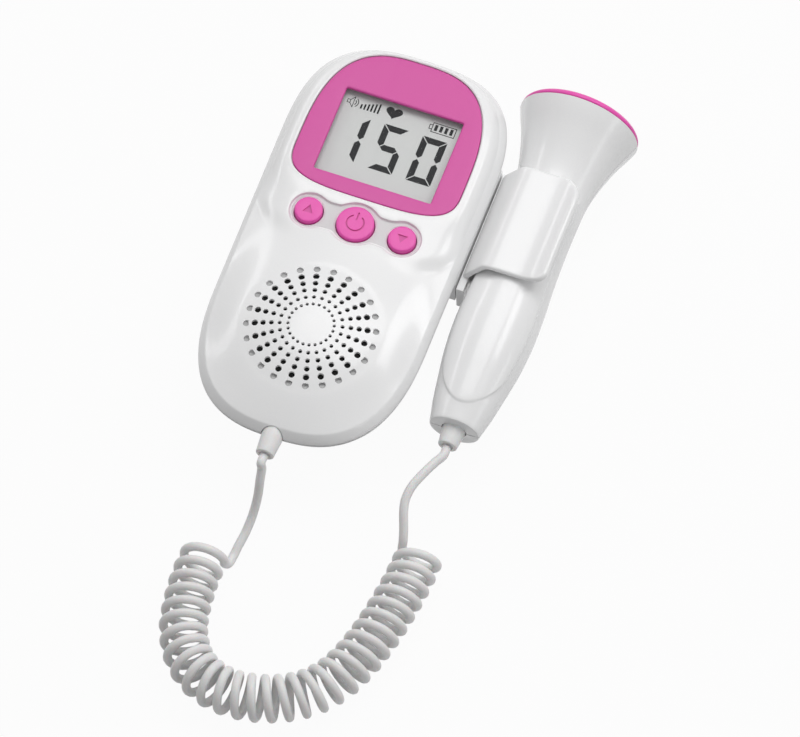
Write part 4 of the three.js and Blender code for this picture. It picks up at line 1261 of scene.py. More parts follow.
@dataclass(frozen=True)
class FrontFace:
    """The front face's height: a crowned lower face and a flatter hood that rises round the screen."""

    apex: float = 35.5
    across_radius: float = 100.0
    along_radius: float = 94.0
    most_sink: float = 4.2
    edge_lift: float = 1.6
    shoulder: float = 19.0
    shoulder_power: float = 3.4
    hood_height: float = 31.5
    hood_pitch: float = 0.012
    hood_edge_y: float = -6.8
    hood_edge_sweep: float = 12.0
    hood_blend: float = 7.0
    hood_power: float = 2.4

    def screen_plane(self, y: Points | float) -> Points | float:
        """Height of the hood's flat part."""
        return self.hood_height + self.hood_pitch * (WINDOW_Y - y)

    def height(self, x: Points, y: Points) -> Points:
        """Works out the face inside the crease.

        Args:
            x: the points' places across.
            y: the points' places along.

        Returns:
            Its height over each point.
        """
        fall = (y - GRILLE_Y) ** 2 / (2 * self.along_radius)
        sink = self.most_sink * (1 - np.exp(-fall / self.most_sink))
        crown_lift = self.apex - x ** 2 / (2 * self.across_radius) - sink - CREASE_HEIGHT
        hood_lift = self.screen_plane(y) - CREASE_HEIGHT
        edge = self.hood_edge_y + self.hood_edge_sweep * (np.abs(x) / UNIT.half_width) ** 5
        share = smoothstep(y, edge, edge + self.hood_blend)
        crease = UNIT.inset(CREASE_INSET)
        inwards = 1 - 1 / np.maximum(crease.reach(x, y, 0), 1)
        roll = np.minimum(inwards * UNIT.half_width / self.shoulder, 1)
        shoulder = 1 - (1 - roll) ** self.shoulder_power
        crown = (crown_lift + np.hypot(crown_lift, self.edge_lift)) / 2 * shoulder
        to_crease = np.maximum(crease.reach(x, y, BEZEL.top[0]), 1)
        to_rim = np.minimum(BEZEL.inset(-1).reach(x, y, BEZEL.top[0]), 1)
        span = to_crease - to_rim
        outwards = np.where(span > 1e-6, (1 - to_rim) / np.where(span > 1e-6, span, 1), 1)
        hood = hood_lift * (1 - outwards ** self.hood_power)
        return CREASE_HEIGHT + np.maximum(crown, crown + (hood - crown) * share)


FACE = FrontFace()


class Tree(Graph):
    """A Geometry Nodes tree under construction."""

    def __init__(self, name: str) -> None:
        """Starts a tree with one geometry in and one out.

        Args:
            name: the tree's name.
        """
        super().__init__(bpy.data.node_groups.new(name, "GeometryNodeTree"))
        for direction in ("INPUT", "OUTPUT"):
            self.tree.interface.new_socket("Geometry", in_out=direction, socket_type="NodeSocketGeometry")
        self.inputs = self.tree.nodes.new("NodeGroupInput").outputs
        self.source = self.inputs[0]
        self.values: dict[str, float] = {}

    def size(self, name: str, value: float) -> Socket:
        """Adds a named size input and keeps its value for the modifier.

        Args:
            name: the input's name.
            value: its value.

        Returns:
            The input's socket.
        """
        kind = "NodeSocketInt" if isinstance(value, int) else "NodeSocketFloat"
        made = self.tree.interface.new_socket(name, in_out="INPUT", socket_type=kind)
        self.values[made.identifier] = value
        return self.inputs[name]

    def vector(self, x: object, y: object, z: object) -> Socket:
        """Joins three numbers or sockets."""
        return self.add("ShaderNodeCombineXYZ", {"X": x, "Y": y, "Z": z})

    def apply(self, piece: Piece, geometry: Socket, shading: Shading = Shading.SOFT) -> Piece:
        """Ends the tree in realized geometry with the piece's material, and bakes it.

        Args:
            piece: the piece that is baked.
            geometry: what the tree makes.
            shading: how the result's edges are shaded.

        Returns:
            The piece, as a plain mesh.
        """
        real = self.add("GeometryNodeRealizeInstances", {"Geometry": geometry})
        dressed = self.add("GeometryNodeSetMaterial", {"Geometry": real, "Material": piece.data.materials[0]})
        self.fill(self.tree.nodes.new("NodeGroupOutput"), {"Geometry": dressed})
        modifier = piece.modifiers.new(self.tree.name, "NODES")
        modifier.node_group = self.tree
        for identifier, value in self.values.items():
            modifier[identifier] = value
        return freeze(piece, shading)


def loose_body(piece: Piece) -> Body:
    """Takes a helper piece apart and removes it.

    Args:
        piece: the helper.

    Returns:
        Its points in unit millimetres, and its faces.
    """
    points = np.array([tuple(v.co) for v in piece.data.vertices])
    faces = [tuple(face.vertices) for face in piece.data.polygons]
    mesh = piece.data
    bpy.data.objects.remove(piece)
    bpy.data.meshes.remove(mesh)
    return (points - DATUM.origin) / MM, faces


@dataclass
class FrontCase:
    """The front shell: side wall, shoulder, hood, bezel pocket, button recess and perforated grille."""

    palette: Palette
    wall: float = 2.4
    spacing: float = 1.25
    least_gap: float = 0.55
    pocket_depth: float = 1.5
    pocket_margin: float = 0.22
    opening_border: float = 2.6
    bezel_clearing: float = 1.6
    crease_clearing: float = 1.2
    recess_depth: float = 1.2
    recess_floor: float = 0.95
    recess_margin: float = 1.7
    recess_power: int = 7
    recess_softness: Pair = (0.75, 0.45)
    recess_foot_inset: float = 0.8
    neck_half_height: float = 4.9
    neck_fade: float = 3.0
    hole_rim: Pair = (0.6, 1.0)
    hole_points: int = 56
    wall_points: int = 280
    disc_points: int = 130
    # The thin grey sheet of painted shade over the recess floor: its inset, gap, thickness and hole margin
    shade_sheet_inset: float = 0.85
    shade_sheet_gap: float = 0.05
    shade_sheet_thickness: float = 0.12
    shade_sheet_hole_margin: float = 0.7
    disc_radius: float = 21.7
    disc_rim: float = 0.45
    disc_drop: float = 0.06
    seat_radius: float = 19.3
    seat_width: float = 1.6
    seat_foot: float = 28.6
    seat_top: float = 30.6
    seat_bore: Pair = (20, 40)
    web_radius: float = 18.6
    web_step: float = 0.1
    web: float = 1.0
    hole_radii: tuple[float, ...] = (0.5, 0.61, 0.73, 0.85, 0.99)
    ring_shares: tuple[float, ...] = (0.3578, 0.4859, 0.6141, 0.7415, 0.8695)
    outer_ring: float = 19.8
    rays: int = 24
    bore_length: float = 4.0
    bore_foot: float = -2.2
    edge_flare: float = 0.08
    flare_heights: Pair = (0.2, -0.08)
    dimple_foot_radius: float = 1.0
    dimple_radius: float = 1.07
    dimple_foot: float = -1.7
    dimple_length: float = 1.9
    boss_foot: float = 24.25
    boss_radius: float = 3.1
    pilot_radius: float = 0.9
    pilot_heights: Pair = (20, 27.5)
    # The side wall's rings up to the crease: inset and height outside, then inside
    wall_rings: tuple[tuple[float, ...], ...] = (
        (0.0, 24.4, 0.3, 24.25), (0.15, 24.9, 0.6, 24.25), (0.5, 25.5, 1.0, 24.25), (1.0, 26.3, 1.5, 24.25),
        (1.5, 27.0, 2.0, 24.25), (1.85, 27.45, 2.3, 24.6), (CREASE_INSET, CREASE_HEIGHT, 2.6, 25.0))
    # Shares of the crease where closed rings, and then loose points, follow it inwards
    crease_shares: Pair = (0.995, 0.985)
    shoulder_shares: tuple[float, ...] = (0.972, 0.955, 0.935, 0.91, 0.88)
    # Margin and drop of the rings over the pocket's raised rim, and inset and drop down the recess wall
    pocket_rings: tuple[Pair, ...] = ((1.1, 0.0), (0.86, -0.05), (0.7, -0.08), (0.58, -0.05), (0.27, 0.22))
    recess_rings: tuple[Pair, ...] = ((-0.45, 0.0), (-0.15, 0.05), (0.05, 0.3), (0.25, 0.68), (0.5, 0.86))
    # The grey plugs of painted dimple shade, as radius and height pairs
    dimple_shade_profile: tuple[Pair, ...] = ((0, -1.65), (0.99, -1.65), (1.0, -0.93), (0.8, -0.86), (0, -0.8))

    def _surface(self, plan: Points, drop: Points | float = 0.0) -> tuple[Points, Points]:
        """Sets plan points on the shell.

        Args:
            plan: plan points.
            drop: how far the upper ones are lowered.

        Returns:
            Upper and lower points.
        """
        height = FACE.height(plan[:, 0], plan[:, 1])
        from_grille = np.hypot(plan[:, 0], plan[:, 1] - GRILLE_Y)
        thickness = np.where(from_grille < self.web_radius, self.web, self.wall)
        return raised(plan, height - drop), raised(plan, height - thickness)

    def recess_loop(self) -> Points:
        """Draws the wavy outline of the button recess.

        Returns:
            Evenly spaced points along it.
        """
        margin, spacing, power = self.recess_margin, BUTTON_SPACING, self.recess_power
        reach = spacing + BUTTON_RADII[0] + margin
        x = reach * np.sin(np.linspace(-math.pi / 2, math.pi / 2, 400))
        fade = np.clip((spacing + self.neck_fade - np.abs(x)) / self.neck_fade, 0, 1)
        total = (self.neck_half_height * fade) ** power
        for middle, radius in zip(BUTTON_PLACES, BUTTON_RADII):
            total += np.maximum((radius + margin) ** 2 - (x - middle) ** 2, 0) ** (power / 2)
        half = total ** (1 / power)
        lower = np.column_stack([x, POWER_BUTTON_Y - half])
        upper = np.column_stack([x[::-1], POWER_BUTTON_Y + half[::-1]])
        return resample(np.vstack([lower, upper[1:-1]]), RIM_POINTS)

    def _recess_ring(self, inset: float) -> Points:
        """Moves the recess outline inwards, less on its upper side, which is crisper.

        Args:
            inset: how far.

        Returns:
            The new outline.
        """
        loop = self.recess_loop()
        normal = outward(loop)
        softness = self.recess_softness[0] - self.recess_softness[1] * normal[:, 1]
        return loop - normal * (inset * softness)[:, None]

    def _side_wall(self, plate: Plate) -> None:
        """Adds the rings from the parting line up to the crease and a little past it.

        Args:
            plate: the shell's plate.
        """
        for inset, height, foot_inset, foot in self.wall_rings:
            loop = UNIT.inset(inset).loop(self.wall_points)
            under = UNIT.inset(foot_inset).loop(self.wall_points)
            plate.ring(loop, raised(loop, height), raised(under, foot))
        crease = UNIT.inset(CREASE_INSET).loop(self.wall_points)
        for share in self.crease_shares:
            plate.ring(crease * share, *self._surface(crease * share))
        for share in self.shoulder_shares:
            loop = crease * share
            loop = loop[BEZEL.inset(-self.bezel_clearing).value(loop[:, 0], loop[:, 1]) > 1]
            plate.scatter(loop, *self._surface(loop))

    def _pocket(self, plate: Plate) -> Points:
        """Adds the bezel's pocket with a fine raised rim round it.

        Args:
            plate: the shell's plate.

        Returns:
            The window opening.
        """
        for margin, drop in (*self.pocket_rings, (self.pocket_margin, self.pocket_depth)):
            loop = BEZEL.inset(-margin).loop(RIM_POINTS)
            plate.ring(loop, *self._surface(loop, drop))
        wide, tall = WINDOW_WIDTH + self.opening_border, WINDOW_HEIGHT + self.opening_border
        opening = rounded_box(wide, tall, WINDOW_Y, 1)
        plate.ring(opening, *self._surface(opening, self.pocket_depth))
        return opening

    def _recess(self, plate: Plate) -> list[Points]:
        """Adds the button recess, crisp above and soft below.

        Args:
            plate: the shell's plate.

        Returns:
            The button holes.
        """
        for inset, drop in (*self.recess_rings, (self.recess_foot_inset, self.recess_floor)):
            moved = self._recess_ring(inset)
            plate.ring(moved, *self._surface(moved, drop))
        holes = []
        for x, radius in zip(BUTTON_PLACES, BUTTON_RADII):
            for margin, drop in (self.hole_rim, (CLEARANCE, self.recess_depth)):
                hole = circle(x, POWER_BUTTON_Y, radius + margin, self.hole_points)
                plate.ring(hole, *self._surface(hole, drop))
            holes.append(hole)
        return holes

    def _recess_shade_sheet(self) -> None:
        """Makes a thin grey sheet over the recess floor between the keys; its grey is painted shade."""
        rim = self._recess_ring(self.shade_sheet_inset)
        holes = [circle(x, POWER_BUTTON_Y, radius + self.shade_sheet_hole_margin, self.hole_points)
                 for x, radius in zip(BUTTON_PLACES, BUTTON_RADII)]
        plate = Plate()

        def sides(plan: Points) -> tuple[Points, Points]:
            """The sheet's upper and lower points over a plan."""
            top = self._surface(plan, self.recess_floor - self.shade_sheet_gap)[0]
            return top, top - [0, 0, self.shade_sheet_thickness]

        for ring in (rim, *holes):
            plate.ring(ring, *sides(ring))
        reach = float(rim[:, 0].max())
        loose = hex_points(-reach, reach, POWER_BUTTON_Y - reach, POWER_BUTTON_Y + reach, self.spacing)
        loose = loose[within(rim, loose[:, 0], loose[:, 1])]
        loose = loose[plate.spaced(loose, self.spacing * self.least_gap)]
        plate.scatter(loose, *sides(loose))
        points, faces = plate.body(lambda x, y: within(rim, x, y) & ~inside_any(holes, x, y))
        dress(add_piece("key_skirt", points, faces, self.palette["key_film"]), "unit", "inner_white")

    def _shaded_dimple_plugs(self) -> None:
        """Makes the small grey plugs at the foot of the outer ring's dimples, whose grey is painted shade."""
        angle = np.arange(self.rays) * 2 * math.pi / self.rays
        plan = np.column_stack([np.cos(angle), np.sin(angle)]) * self.outer_ring + [0, GRILLE_Y]
        turned = lathe(self.dimple_shade_profile, 0, 0, 0, "Z", 20)
        pattern = add_piece("plug_pattern", *turned, self.palette["dimple_grey"])
        plugs = repeated("dimple_plugs", pattern, raised(plan, FACE.height(plan[:, 0], plan[:, 1])))
        dress(plugs, "unit", "inner_white")

    def _grille(self, plate: Plate) -> None:
        """Adds the rings of the faint disc round the grille and of the thinner web under it.

        Args:
            plate: the shell's plate.
        """
        rings = ((self.disc_radius + self.disc_rim, 0.0), (self.disc_radius, self.disc_drop),
                 (self.web_radius + self.web_step, self.disc_drop),
                 (self.web_radius - self.web_step, self.disc_drop))
        for radius, drop in rings:
            loop = circle(0, GRILLE_Y, radius, self.disc_points)
            plate.ring(loop, *self._surface(loop, drop))

    def _fill(self, plate: Plate) -> None:
        """Adds even points over everything else.

        Args:
            plate: the shell's plate.
        """
        points = hex_points(-UNIT.half_width, UNIT.half_width, UNIT_BOTTOM_Y, UNIT_TOP_Y, self.spacing)
        x, y = points[:, 0], points[:, 1]
        points = points[UNIT.inset(CREASE_INSET + self.crease_clearing).value(x, y) < 1]
        points = points[plate.spaced(points, self.spacing * self.least_gap)]
        x, y = points[:, 0], points[:, 1]
        drop = np.where(BEZEL.inset(-self.pocket_margin).value(x, y) < 1, self.pocket_depth, 0.0)
        drop = np.where(within(self.recess_loop(), x, y), self.recess_floor, drop)
        drop = np.where(np.hypot(x, y - GRILLE_Y) < self.disc_radius, self.disc_drop, drop)
        plate.scatter(points, *self._surface(points, drop))

    def _perforate(self, piece: Piece) -> None:
        """Cuts the grille's rays of holes and the outer ring of dimples with one node tree.

        Args:
            piece: the shell.
        """
        tree = Tree("Ring perforation")
        middle = DATUM.row([[0, GRILLE_Y, 60]])[0].tolist()
        rays, flare = tree.size("Rays", self.rays), tree.size("Edge flare", self.edge_flare * MM)

        def ring(radius: Socket, cutter: Socket) -> Socket:
            """Sets cutters round the grille's middle down on the face.

            Args:
                radius: the ring's radius.
                cutter: the shape of one cutter.

            Returns:
                The cutters.
            """
            points = tree.add("GeometryNodeMeshCircle", {"Vertices": rays, "Radius": radius})
            placed = tree.add("GeometryNodeTransform", {
                "Geometry": points, "Translation": middle, "Rotation": (0, 0, math.pi / 2)})
            hit = tree.add("GeometryNodeRaycast", {
                "Target Geometry": tree.source, "Ray Direction": (0, 0, -1), "Ray Length": 0.1},
                "Hit Position")
            dropped = tree.add("GeometryNodeSetPosition", {"Geometry": placed, "Position": hit})
            return tree.add("GeometryNodeInstanceOnPoints", {"Points": dropped, "Instance": cutter})

        def cone(low: Socket, high: Socket, depth: float, foot: float) -> Socket:
            """Makes a cutter.

            Args:
                low: its radius at the foot.
                high: its radius at the head.
                depth: its height.
                foot: the height of its foot.

            Returns:
                The cutter.
            """
            body = tree.add("GeometryNodeMeshCone", {
                "Vertices": 24, "Radius Top": high, "Radius Bottom": low, "Depth": depth * MM})
            return tree.add("GeometryNodeTransform", {"Geometry": body, "Translation": (0, 0, foot * MM)})

        places = [tree.size(f"Ring {number} radius", share * self.outer_ring * MM)
                  for number, share in enumerate(self.ring_shares, 1)]
        radii = [tree.size(f"Ring {number} hole radius", radius * MM)
                 for number, radius in enumerate(self.hole_radii, 1)]
        bores = [ring(place, cone(radius, radius, self.bore_length, self.bore_foot))
                 for place, radius in zip(places, radii)]
        flares = [ring(place, cone(radius, tree.math("ADD", radius, flare), *self.flare_heights))
                  for place, radius in zip(places, radii)]
        foot_radius = tree.size("Dimple foot radius", self.dimple_foot_radius * MM)
        head_radius = tree.size("Dimple radius", self.dimple_radius * MM)
        dimple = cone(foot_radius, head_radius, self.dimple_length, self.dimple_foot)
        dimples = ring(tree.size("Dimple ring radius", self.outer_ring * MM), dimple)
        cutters = [tree.add("GeometryNodeRealizeInstances", {
            "Geometry": tree.add("GeometryNodeJoinGeometry", {"Geometry": group})})
            for group in (bores, [*flares, dimples])]
        cut = tree.add("GeometryNodeMeshBoolean", {"Mesh 1": tree.source, "Mesh 2": cutters},
                       solver="MANIFOLD")
        tree.apply(piece, cut)

    def build(self) -> None:
        """Makes the shell in the place of its CAD node, then the grey sheet and plugs of painted shade on it.
        """
        plate = Plate()
        self._side_wall(plate)
        opening = self._pocket(plate)
        holes = self._recess(plate)
        self._grille(plate)
        self._fill(plate)
        points, faces = plate.body(lambda x, y: ~inside_any((opening, *holes), x, y))
        piece = add_piece("front_case", points, faces, self.palette["white_gloss"])
        outer = post_body(0, GRILLE_Y, self.seat_foot, self.seat_top,
                          self.seat_radius + CLEARANCE + self.seat_width)
        seat = add_piece("seat_helper", *outer, self.palette["steel"])
        carve(seat, [post_body(0, GRILLE_Y, *self.seat_bore, self.seat_radius + CLEARANCE)])
        bosses = [post_body(x, y, self.boss_foot, self.seat_foot, self.boss_radius) for x, y in CASE_SCREWS]
        carve(piece, [loose_body(seat), *bosses], "UNION")
        pilots = [post_body(x, y, *self.pilot_heights, self.pilot_radius) for x, y in CASE_SCREWS]
        carve(piece, pilots + UNIT_GLAND.seat())
        self._perforate(piece)
        dress(piece, "unit", "white_gloss", "front_shell")
        self._recess_shade_sheet()
        self._shaded_dimple_plugs()


@dataclass
class RearCase:
    """The boat-shaped rear shell with its battery tray, and the lid that slides over the cells."""

    palette: Palette
    profile: tuple[Triple, ...] = (
        (0.0, 0.0, 0.25), (0.25, 0.35, 1.2), (0.7, 1.3, 2.6), (6.2, 13.2, 22.4), (8.2, 15.2, 24.0))
    wall: float = 2.0
    bend_radius: float = 2.2
    open_top: float = 27.0
    bay_half_width: float = 14.75
    bay_start: float = -24.0
    bay_end: float = 32.9
    bay_top: float = 16.8
    lid_half_width: float = 18.5
    lid_start: float = -29.0
    lid_thickness: float = 1.7
    lid_end: float = 70.0
    lid_beyond: float = 72.0
    rail_start: float = -26.0
    rail_reach: float = 0.6
    rail_low: float = 0.55
    rail_high: float = 1.15
    bay_wall: float = 1.3
    lid_frame: float = 3.0
    lid_frame_height: float = 3.6
    boss_radius: float = 3.1
    boss_top: float = 23.75
    head_bore_radius: float = 2.6
    head_bore_end: float = 16.0
    pilot_radius: float = 0.9
    pilot_end: float = 26.0
    overrun: float = 2.0
    under: float = 1.0
    # The pad under the holder's web, as low and high x, y and z
    pad: tuple[float, ...] = (29.3, 34.2, -0.8, 41.6, 14, 23.4)
    thumb_y: float = -19.0
    thumb_radius: float = 5.0
    thumb_depth: float = 0.7
    rib_count: int = 6
    rib_pitch: float = 1.4
    rib_length: float = 6.0
    rib_width: float = 0.5
    rib_height: float = 0.45

    def hull(self, inset: float = 0.0, low: float = 0.0, high: float | None = None) -> Body:
        """Builds the hull as a closed body.

        Args:
            inset: how far it is moved inwards.
            low: the height that it starts at, at least.
            high: the height that it is carried up to, if any.

        Returns:
            Points and faces.
        """
        rings = []
        for side, end, depth in reversed(rounded(self.profile, self.bend_radius, 6)):
            top = (UNIT.top[0], UNIT.top[1] - end - inset, UNIT.top[2])
            bottom = (UNIT.bottom[0], UNIT.bottom[1] - end - inset, UNIT.bottom[2])
            outline = Outline(UNIT.half_width - side - inset, top, bottom)
            if PARTING_HEIGHT - depth > low + 1e-3 or not rings:
                rings.append(raised(outline.loop(RIM_POINTS), max(PARTING_HEIGHT - depth, low)))
        if high is not None:
            rings.append(raised(rings[-1][:, :2], high))
        return loft(rings)

    def build(self) -> None:
        """Makes the shell with its tray, bosses and lid way, and then the lid."""
        white = self.palette["white_gloss"]
        piece = add_piece("rear_case", *self.hull(), white)
        carve(piece, [self.hull(self.wall, self.wall, self.open_top)])
        half, wall = self.bay_half_width + self.bay_wall, self.bay_wall
        tray = box_body(-half, half, self.bay_start - wall, self.bay_end + wall, 0.0, self.bay_top + wall)
        core = add_piece("core_helper", *tray, white)
        bosses = [post_body(x, y, 0, self.boss_top, self.boss_radius) for x, y in CASE_SCREWS]
        frame_half = self.lid_half_width + self.lid_frame
        lid_frame = box_body(-frame_half, frame_half, self.lid_start - self.lid_frame, UNIT_TOP_Y, 0,
                             self.lid_frame_height)
        carve(core, [lid_frame, *bosses], "UNION")
        carve(core, [self.hull()], "INTERSECT")
        carve(piece, [loose_body(core), box_body(*self.pad)], "UNION")
        carve(piece, self._cuts())
        dress(piece, "unit", "white_gloss", "rear_shell")
        self._lid(white)

    def _cuts(self) -> list[Body]:
        """Cutters for the bay, the lid with its rails, the screws and the cord's gland.

        Returns:
            The cutters.
        """
        half = self.lid_half_width + CLEARANCE
        rail_half = half + self.rail_reach + CLEARANCE
        start = self.lid_start - CLEARANCE
        cuts = [box_body(-self.bay_half_width, self.bay_half_width, self.bay_start, self.bay_end,
                         -self.overrun, self.bay_top),
                box_body(-half, half, start, self.lid_beyond, -self.overrun, self.lid_thickness + CLEARANCE),
                box_body(-rail_half, rail_half, start, self.lid_beyond, self.rail_low - CLEARANCE,
                         self.rail_high + CLEARANCE)]
        for x, y in CASE_SCREWS:
            cuts += [post_body(x, y, -self.overrun, self.head_bore_end, self.head_bore_radius),
                     post_body(x, y, self.head_bore_end - self.under, self.pilot_end, self.pilot_radius)]
        return cuts + UNIT_GLAND.seat()

    def _lid(self, white: Material) -> None:
        """Makes the sliding lid, with side rails and a ribbed thumb grip.

        Args:
            white: its material.
        """
        lid = add_piece("battery_lid", *self.hull(), white)
        half, rail_half = self.lid_half_width, self.lid_half_width + self.rail_reach
        blank = box_body(-half, half, self.lid_start, self.lid_end, -self.under, self.lid_thickness)
        carve(lid, [blank], "INTERSECT")
        rails = box_body(-rail_half, rail_half, self.rail_start, self.bay_end, self.rail_low, self.rail_high)
        carve(lid, [rails], "UNION")
        carve(lid, [post_body(0, self.thumb_y, -self.under, self.thumb_depth, self.thumb_radius)])
        tree = Tree("Ribbed grip")
        first = self.thumb_y - self.rib_pitch * (self.rib_count - 1) / 2
        start = DATUM.row([[0, first, self.rib_height]])[0]
        row = tree.add("GeometryNodeMeshLine", {
            "Count": tree.size("Ribs", self.rib_count), "Start Location": start.tolist(),
            "Offset": tree.vector(0.0, tree.size("Pitch", self.rib_pitch * MM), 0.0)})
        wide = tree.size("Rib length", self.rib_length * MM)
        thick = tree.size("Rib width", self.rib_width * MM)
        rib = tree.add("GeometryNodeMeshCube", {"Size": tree.vector(wide, thick, thick)})
        ribs = tree.add("GeometryNodeRealizeInstances", {
            "Geometry": tree.add("GeometryNodeInstanceOnPoints", {"Points": row, "Instance": rib})})
        ribbed = tree.add("GeometryNodeMeshBoolean", {"Mesh 2": [tree.source, ribs]}, operation="UNION",
                          solver="EXACT")
        tree.apply(lid, ribbed)
        dress(lid, "battery_door", "white_gloss", "battery_cover")


@dataclass
class Screen:
    """The pink plate round the screen and the clear window under it."""

    palette: Palette
    recess: float = 0.2
    thickness: float = 1.0
    window_corner: float = 0.5
    fill_ends: Pair = (14, 65)
    spacing: float = 3.0
    least_gap: float = 1.5
    # Inset and drop of the rings at the plate's outer edge, then margin and drop at its window
    outer_rings: tuple[Pair, ...] = ((0.0, 0.3), (0.06, 0.12), (0.18, 0.03), (0.45, 0.0))
    window_rings: tuple[Pair, ...] = ((0.7, 0.0), (0.35, 0.05), (0.12, 0.18), (0.0, 0.45))
    # Shrinkage and height of the clear sheet's rings
    lens_rings: tuple[Pair, ...] = ((0.15, 29.0), (0, 29.12), (0, 29.68), (0.15, 29.8))
    lens_border: float = 2.0
    lens_corner: float = 0.9

    def _plate(self) -> None:
        """Makes the pink plate, with softened edges."""
        plate = Plate()

        def ring(loop: Points, drop: float) -> None:
            """Adds a ring over the hood's flat part."""
            top = FACE.screen_plane(loop[:, 1]) - self.recess
            plate.ring(loop, raised(loop, top - drop), raised(loop, top - self.thickness))

        for inset, drop in self.outer_rings:
            ring(BEZEL.inset(inset).loop(RIM_POINTS), drop)
        for margin, drop in self.window_rings:
            hole = rounded_box(WINDOW_WIDTH + 2 * margin, WINDOW_HEIGHT + 2 * margin, WINDOW_Y,
                               self.window_corner + margin)
            ring(hole, drop)
        loose = hex_points(-BEZEL.half_width, BEZEL.half_width, *self.fill_ends, self.spacing)
        loose = loose[BEZEL.inset(self.least_gap).value(loose[:, 0], loose[:, 1]) < 1]
        loose = loose[plate.spaced(loose, self.least_gap)]
        top = FACE.screen_plane(loose[:, 1]) - self.recess
        plate.scatter(loose, raised(loose, top), raised(loose, top - self.thickness))
        points, faces = plate.body(lambda x, y: ~within(hole, x, y))
        piece = add_piece("screen_surround", points, faces, self.palette["pink_plate"])
        dress(piece, "unit", "pink_plate", "screen_bezel")

    def _lens(self) -> None:
        """Makes the clear window: a rounded sheet with bevelled edges."""
        rings = []
        for shrink, height in self.lens_rings:
            wide, tall = WINDOW_WIDTH + self.lens_border - shrink, WINDOW_HEIGHT + self.lens_border - shrink
            rings.append(raised(rounded_box(wide, tall, WINDOW_Y, self.lens_corner), height))
        piece = add_piece("clear_window", *loft(rings), self.palette["clear_lens"])
        dress(piece, "unit", "clear_lens", "screen_window")

    def build(self) -> None:
        """Makes the screen's pieces."""
        self._plate()
        self._lens()


def polygon_body(plan: Rows, low: float, high: float) -> Body:
    """Builds a flat body over a star-shaped plan, which may turn either way.

    Args:
        plan: its corners.
        low: its low side.
        high: its high side.

    Returns:
        Points and faces.
    """
    loop = np.asarray(plan, float)
    x, y = loop[:, 0], loop[:, 1]
    if np.sum(x * np.roll(y, -1) - y * np.roll(x, -1)) < 0:
        loop = loop[::-1]
    return loft([raised(loop, low), raised(loop, high)])


def joined(bodies: Sequence[Body]) -> Body:
    """Makes one set of points and faces of several bodies.

    Args:
        bodies: the bodies.

    Returns:
        Points and faces.
    """
    points, faces, start = [], [], 0
    for body_points, body_faces in bodies:
        points.append(body_points)
        faces += [tuple(i + start for i in face) for face in body_faces]
        start += len(body_points)
    return np.vstack(points), faces


class Segment(Enum):
    """The strokes of a seven-stroke digit."""

    TOP = "top"
    MIDDLE = "middle"
    FOOT = "foot"
    UPPER_LEFT = "upper left"
    UPPER_RIGHT = "upper right"
    LOWER_LEFT = "lower left"
    LOWER_RIGHT = "lower right"


